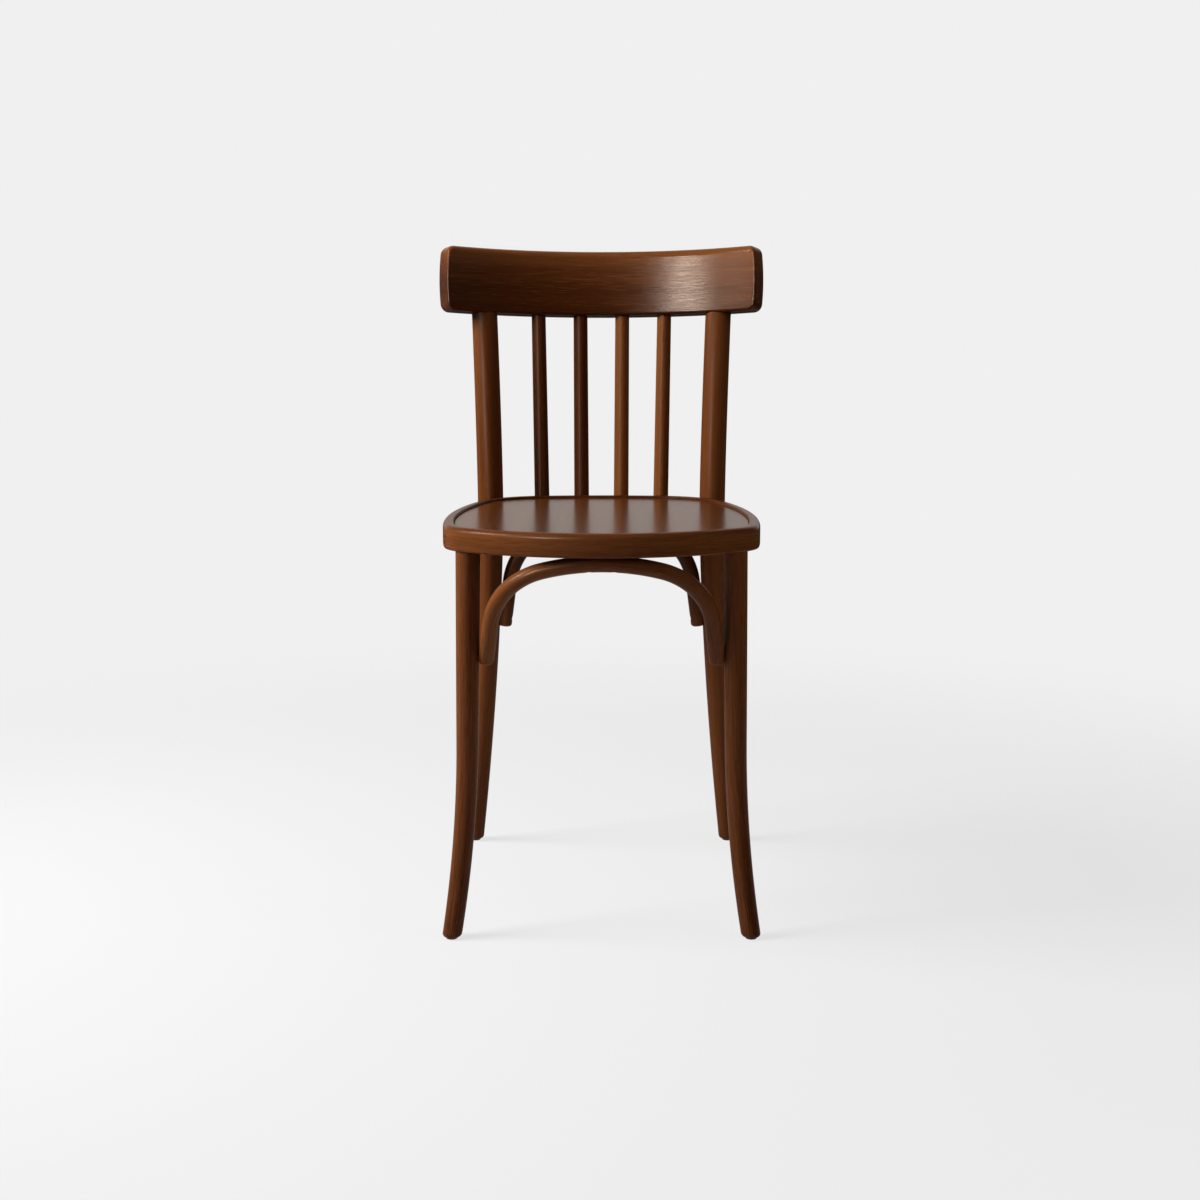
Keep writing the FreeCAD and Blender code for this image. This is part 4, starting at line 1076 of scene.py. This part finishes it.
# painted light: the crest's right half, which faces the light, is made paler
PAINTED_LIGHT_RIGHT, END_GRAIN_STAIN = 0.12, 0.08


def edge_round(front):
    """Rounding along the outline: on the front, most at the top and least at the ends."""
    up, down = np.clip(board_outward[:, 1], 0, 1) ** 2, np.clip(-board_outward[:, 1], 0, 1) ** 2
    aside = 1 - up - down
    return up * 9.0 + down * 4.0 + aside * 3.0 if front else up * 5.0 + down * 4.0 + aside * 4.0


def filled_grid(loop):
    """Grid of points blended from a closed loop of four sides."""
    lengths = [len(side) - 1 for side in sides]
    starts = np.cumsum([0] + lengths)
    around = np.vstack([loop, loop[:1]])
    bottom, right, top, left = [around[starts[i]:starts[i + 1] + 1] for i in range(4)]
    top, left = top[::-1], left[::-1]
    u = np.linspace(0, 1, len(bottom))[:, None, None]
    v = np.linspace(0, 1, len(right))[None, :, None]
    corners = (1 - u) * (1 - v) * bottom[0] + u * (1 - v) * bottom[-1] \
        + (1 - u) * v * top[0] + u * v * top[-1]
    return (1 - v) * bottom[:, None] + v * top[:, None] + (1 - u) * left[None] + u * right[None] - corners


def bent_board(flat):
    """Bend (along, height, depth) points round the leaning axis; depth grows towards the back."""
    turn = flat[:, 0] / CREST_RADIUS
    radius = CREST_RADIUS + flat[:, 2]
    return CREST_AXIS + np.outer(np.sin(turn) * radius, (1, 0, 0)) \
        + np.outer(np.cos(turn) * radius, CREST_BACK) + np.outer(flat[:, 1], CREST_UP)


def make_crest():
    half = CREST_THICKNESS / 2
    loops = []
    for front in (True, False):
        radius = edge_round(front)
        sign = -1 if front else 1
        steps = [(radius * (1 - math.cos(turn)), sign * (half - radius * (1 - math.sin(turn))))
                 for turn in np.linspace(0, math.pi / 2, EDGE_STEPS + 1)]
        wall = [(radius * 0, sign * (half - radius - HOLD))]
        flat = [(radius + HOLD, radius * 0 + sign * half)]
        rows = wall + steps + flat
        loops += rows[::-1] if front else rows
    flat_loops = [np.column_stack([board_points - board_outward * inset[:, None], depth])
                  for inset, depth in loops]
    points = [point for loop in flat_loops for point in loop]
    faces, _ = loop_faces(len(flat_loops), len(outline))
    for loop, depth in ((flat_loops[0], -half), (flat_loops[-1], half)):
        grid = filled_grid(loop[:, :2])
        rows, columns = grid.shape[:2]
        base = len(points)
        points += [np.array([*place, depth]) for row in grid for place in row]
        for i in range(rows - 1):
            for j in range(columns - 1):
                corner = base + i * columns + j
                faces.append((corner, corner + 1, corner + columns + 1, corner + columns))
    flat = np.array(points)
    mesh = bpy.data.meshes.new("crest")
    mesh.from_pydata([tuple(point * MM) for point in bent_board(flat)], [], faces)
    grain = flat[:, [2, 1, 0]] * MM / (GRAIN_ACROSS, GRAIN_ACROSS, GRAIN_ALONG)
    # painted light at the top and painted shade towards the bottom of the board
    stain = np.interp(CREST_HEIGHT - flat[:, 1], LIT_TOP_DEPTHS, LIT_TOP_SHADES)
    # painted light: paler towards the right end
    stain -= np.interp(flat[:, 0], (0.0, CREST_HALF), (0.0, PAINTED_LIGHT_RIGHT))
    stain += np.interp(CREST_HALF - np.abs(flat[:, 0]), (1.5, 4.5), (END_GRAIN_STAIN, 0.0))
    store_grain(mesh, grain, np.full(len(flat), 199.0), stain)
    mesh.materials.append(polished_beech)
    tidy_mesh(mesh)
    return add_piece("crest", mesh)


crest = make_crest()
nail_turn = math.asin(297.4 / 2 / CREST_RADIUS)
nail_holes = []
for side in (-1, 1):
    outward = np.array([side * math.sin(nail_turn), 0, 0]) + CREST_BACK * math.cos(nail_turn)
    nail_face = CREST_AXIS + outward * (CREST_RADIUS + CREST_THICKNESS / 2) + CREST_UP * 14.0
    nail_holes.append((nail_face, outward, [(2.1, -0.8), (2.1, 4.0)]))
bore(crest, nail_holes)
print("crest:", len(crest.data.polygons), "faces")

# %% [markdown]
# ## Standing in for the solids
# Each new piece rides on the chair's one body and hides the solid that it stands for. Its row in the list
# also names the finish slot that it belongs to.

# %% Standing in
made = [
    (seat_hoop, "seat_ring", "stained_beech"), (panel, "seat_panel", "seat_veneer"),
    (crest, "crest_rail", "stained_beech"), (arch_front, "front_arch", "stained_beech"),
    (arch_rear, "rear_arch", "stained_beech"),
]
for word, leg, post in zip(("left", "right"), front_legs, back_posts):
    made += [(leg, "front_leg_" + word, "stained_beech"), (post, "back_post_" + word, "stained_beech")]
for (word, *_), spindle in zip(SPINDLES, spindles):
    made.append((spindle, "spindle_" + word, "stained_beech"))
for piece, node_name, slot_name in made:
    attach(piece, "root")
    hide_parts(node_name)
triangles = sum(len(face.vertices) - 2 for piece, _, _ in made for face in piece.data.polygons)
print("pieces:", len(made), "triangles:", triangles)

# %% [markdown]
# ## Floor and light
# The photograph was taken in a white studio: a pale floor that runs into a pale backdrop, a large soft lamp
# near the chair on the far left, a bright wall behind, and a dark room round the camera. The floor is a real
# surface, so it takes the chair's shadow, and it fades out into a world of the same tone. The world is plain
# for the camera. For other rays it is a warm wall, brighter behind, above and on the left, so the lacquer
# has something to mirror. The key lamp and a weak fill on the right give the soft light; three shine lamps
# are seen only in the lacquer, where they draw the highlights on the crest, the hoop and the arch.

# %% Floor
BACKGROUND_TONE = 0.871
FLOOR_GLOW = 0.715
FLOOR_SHADED = 0.155
FLOOR_BOUNCE = 0.65
FLOOR_MIRRORED = 0.3
FLOOR_FADE = (0.6, 1.8)


def grey(tone):
    return (tone, tone, tone, 1.0)


def make_floor():
    mesh = bpy.data.meshes.new("floor")
    mesh.from_pydata([(-6, -6, 0), (6, -6, 0), (6, 6, 0), (-6, 6, 0)], [], [(0, 1, 2, 3)])
    material, tree = new_material("floor")
    place = add_node(tree, "ShaderNodeTexCoord").outputs["Object"]
    distance = add_node(tree, "ShaderNodeVectorMath", {0: place}, operation="LENGTH").outputs["Value"]
    path = add_node(tree, "ShaderNodeLightPath").outputs
    glow, mirrored = [
        add_node(tree, "ShaderNodeEmission", {"Color": grey(1.0), "Strength": strength}).outputs[0]
        for strength in (FLOOR_GLOW, FLOOR_MIRRORED)]
    shaded, bounce = [add_node(tree, "ShaderNodeBsdfDiffuse", {"Color": grey(tone)}).outputs[0]
                      for tone in (FLOOR_SHADED, FLOOR_BOUNCE)]
    shown = add_node(tree, "ShaderNodeAddShader", {0: glow, 1: shaded}).outputs[0]
    clear = add_node(tree, "ShaderNodeBsdfTransparent").outputs[0]
    paint = bounce
    for share, other in ((path["Is Glossy Ray"], mirrored), (path["Is Camera Ray"], shown),
                         (eased(tree, distance, *FLOOR_FADE, 0.0, 1.0), clear)):
        paint = add_node(tree, "ShaderNodeMixShader", {0: share, 1: paint, 2: other}).outputs[0]
    add_node(tree, "ShaderNodeOutputMaterial", {0: paint})
    mesh.materials.append(material)
    floor = bpy.data.objects.new("floor", mesh)
    bpy.context.scene.collection.objects.link(floor)
    return floor


make_floor()
print("floor glow", FLOOR_GLOW, "and shaded share", FLOOR_SHADED)

# %% World
WARM_WALL = (1.0, 0.955, 0.91, 1.0)
BEHIND_GLOW, ABOVE_GLOW = (0.1, 0.57), (0.1, 0.05)
LEFT_GLOW, AROUND_GLOW = 0.28, 0.03


def make_world():
    world = bpy.data.worlds.new("studio")
    world.use_nodes = True
    tree = world.node_tree
    tree.nodes.clear()
    direction = add_node(tree, "ShaderNodeTexCoord").outputs["Generated"]
    way = add_node(tree, "ShaderNodeSeparateXYZ", {0: direction}).outputs
    path = add_node(tree, "ShaderNodeLightPath").outputs
    aside = maths(tree, "ABSOLUTE", way["X"])
    mirrored = path["Is Glossy Ray"]
    behind = eased(tree, way["Y"], 0.3, 0.7, 0.0, 1.0)
    for share in (eased(tree, aside, 0.45, 0.75, 1.0, 0.0), eased(tree, way["Z"], -0.03, 0.03, 0.0, 1.0),
                  eased(tree, mirrored, 0.0, 1.0, *BEHIND_GLOW)):
        behind = maths(tree, "MULTIPLY", behind, share)
    left = maths(tree, "MULTIPLY", eased(tree, way["X"], -0.4, -0.95, 0.0, LEFT_GLOW), mirrored)
    above = maths(tree, "MULTIPLY", eased(tree, way["Z"], 0.3, 0.85, 0.0, 1.0),
                  eased(tree, mirrored, 0.0, 1.0, *ABOVE_GLOW))
    room = behind
    for glow in (left, above, AROUND_GLOW):
        room = maths(tree, "MAXIMUM", room, glow)
    strength = add_node(tree, "ShaderNodeMix", {0: path["Is Camera Ray"]}, data_type="FLOAT")
    fill(tree, strength.inputs[2], room)
    fill(tree, strength.inputs[3], BACKGROUND_TONE)
    colour = mixed_colour(tree, path["Is Camera Ray"], WARM_WALL, grey(1.0))
    light = add_node(tree, "ShaderNodeBackground", {"Color": colour, "Strength": strength.outputs[0]})
    add_node(tree, "ShaderNodeOutputWorld", {0: light.outputs[0]})
    bpy.context.scene.world = world


make_world()
print("world ready")

# %% Lamps
def soft_lamp(name, left, up, distance, width, height, power):
    """Area lamp aimed at the chair from an angle to the left of the camera and an angle above the floor."""
    target = Vector((0.0, 0.0, 0.5))
    left, up = math.radians(left), math.radians(up)
    way = Vector((-math.sin(left) * math.cos(up), -math.cos(left) * math.cos(up), math.sin(up)))
    data = bpy.data.lights.new(name, "AREA")
    data.shape = "RECTANGLE"
    data.size, data.size_y, data.energy = width, height, power
    lamp = bpy.data.objects.new(name, data)
    lamp.location = target + way * distance
    lamp.rotation_euler = (-way).to_track_quat("-Z", "Y").to_euler()
    bpy.context.scene.collection.objects.link(lamp)
    return lamp


for name, left, up, distance, size, power in (("key lamp", 80.0, 32.0, 1.9, 0.95, 62.0),
                                              ("fill lamp", -60.0, 25.0, 2.8, 1.4, 12.0)):
    broad_lamp = soft_lamp(name, left, up, distance, size, size, power)
    broad_lamp.visible_glossy = False
for name, left, up, width, power in (("shine lamp", 31.0, 18.0, 0.8, 64.0),
                                     ("side shine lamp", 50.0, 18.0, 0.5, 6.0),
                                     ("high shine lamp", 68.0, 34.0, 1.0, 60.0)):
    shine_lamp = soft_lamp(name, left, up, 4.0, width, 0.8, power)
    shine_lamp.visible_diffuse = False
print("lamps ready")

# %% [markdown]
# ## Colours
# The Standard view shows colours as they are written.

# %% View
bpy.context.scene.view_settings.view_transform = "Standard"
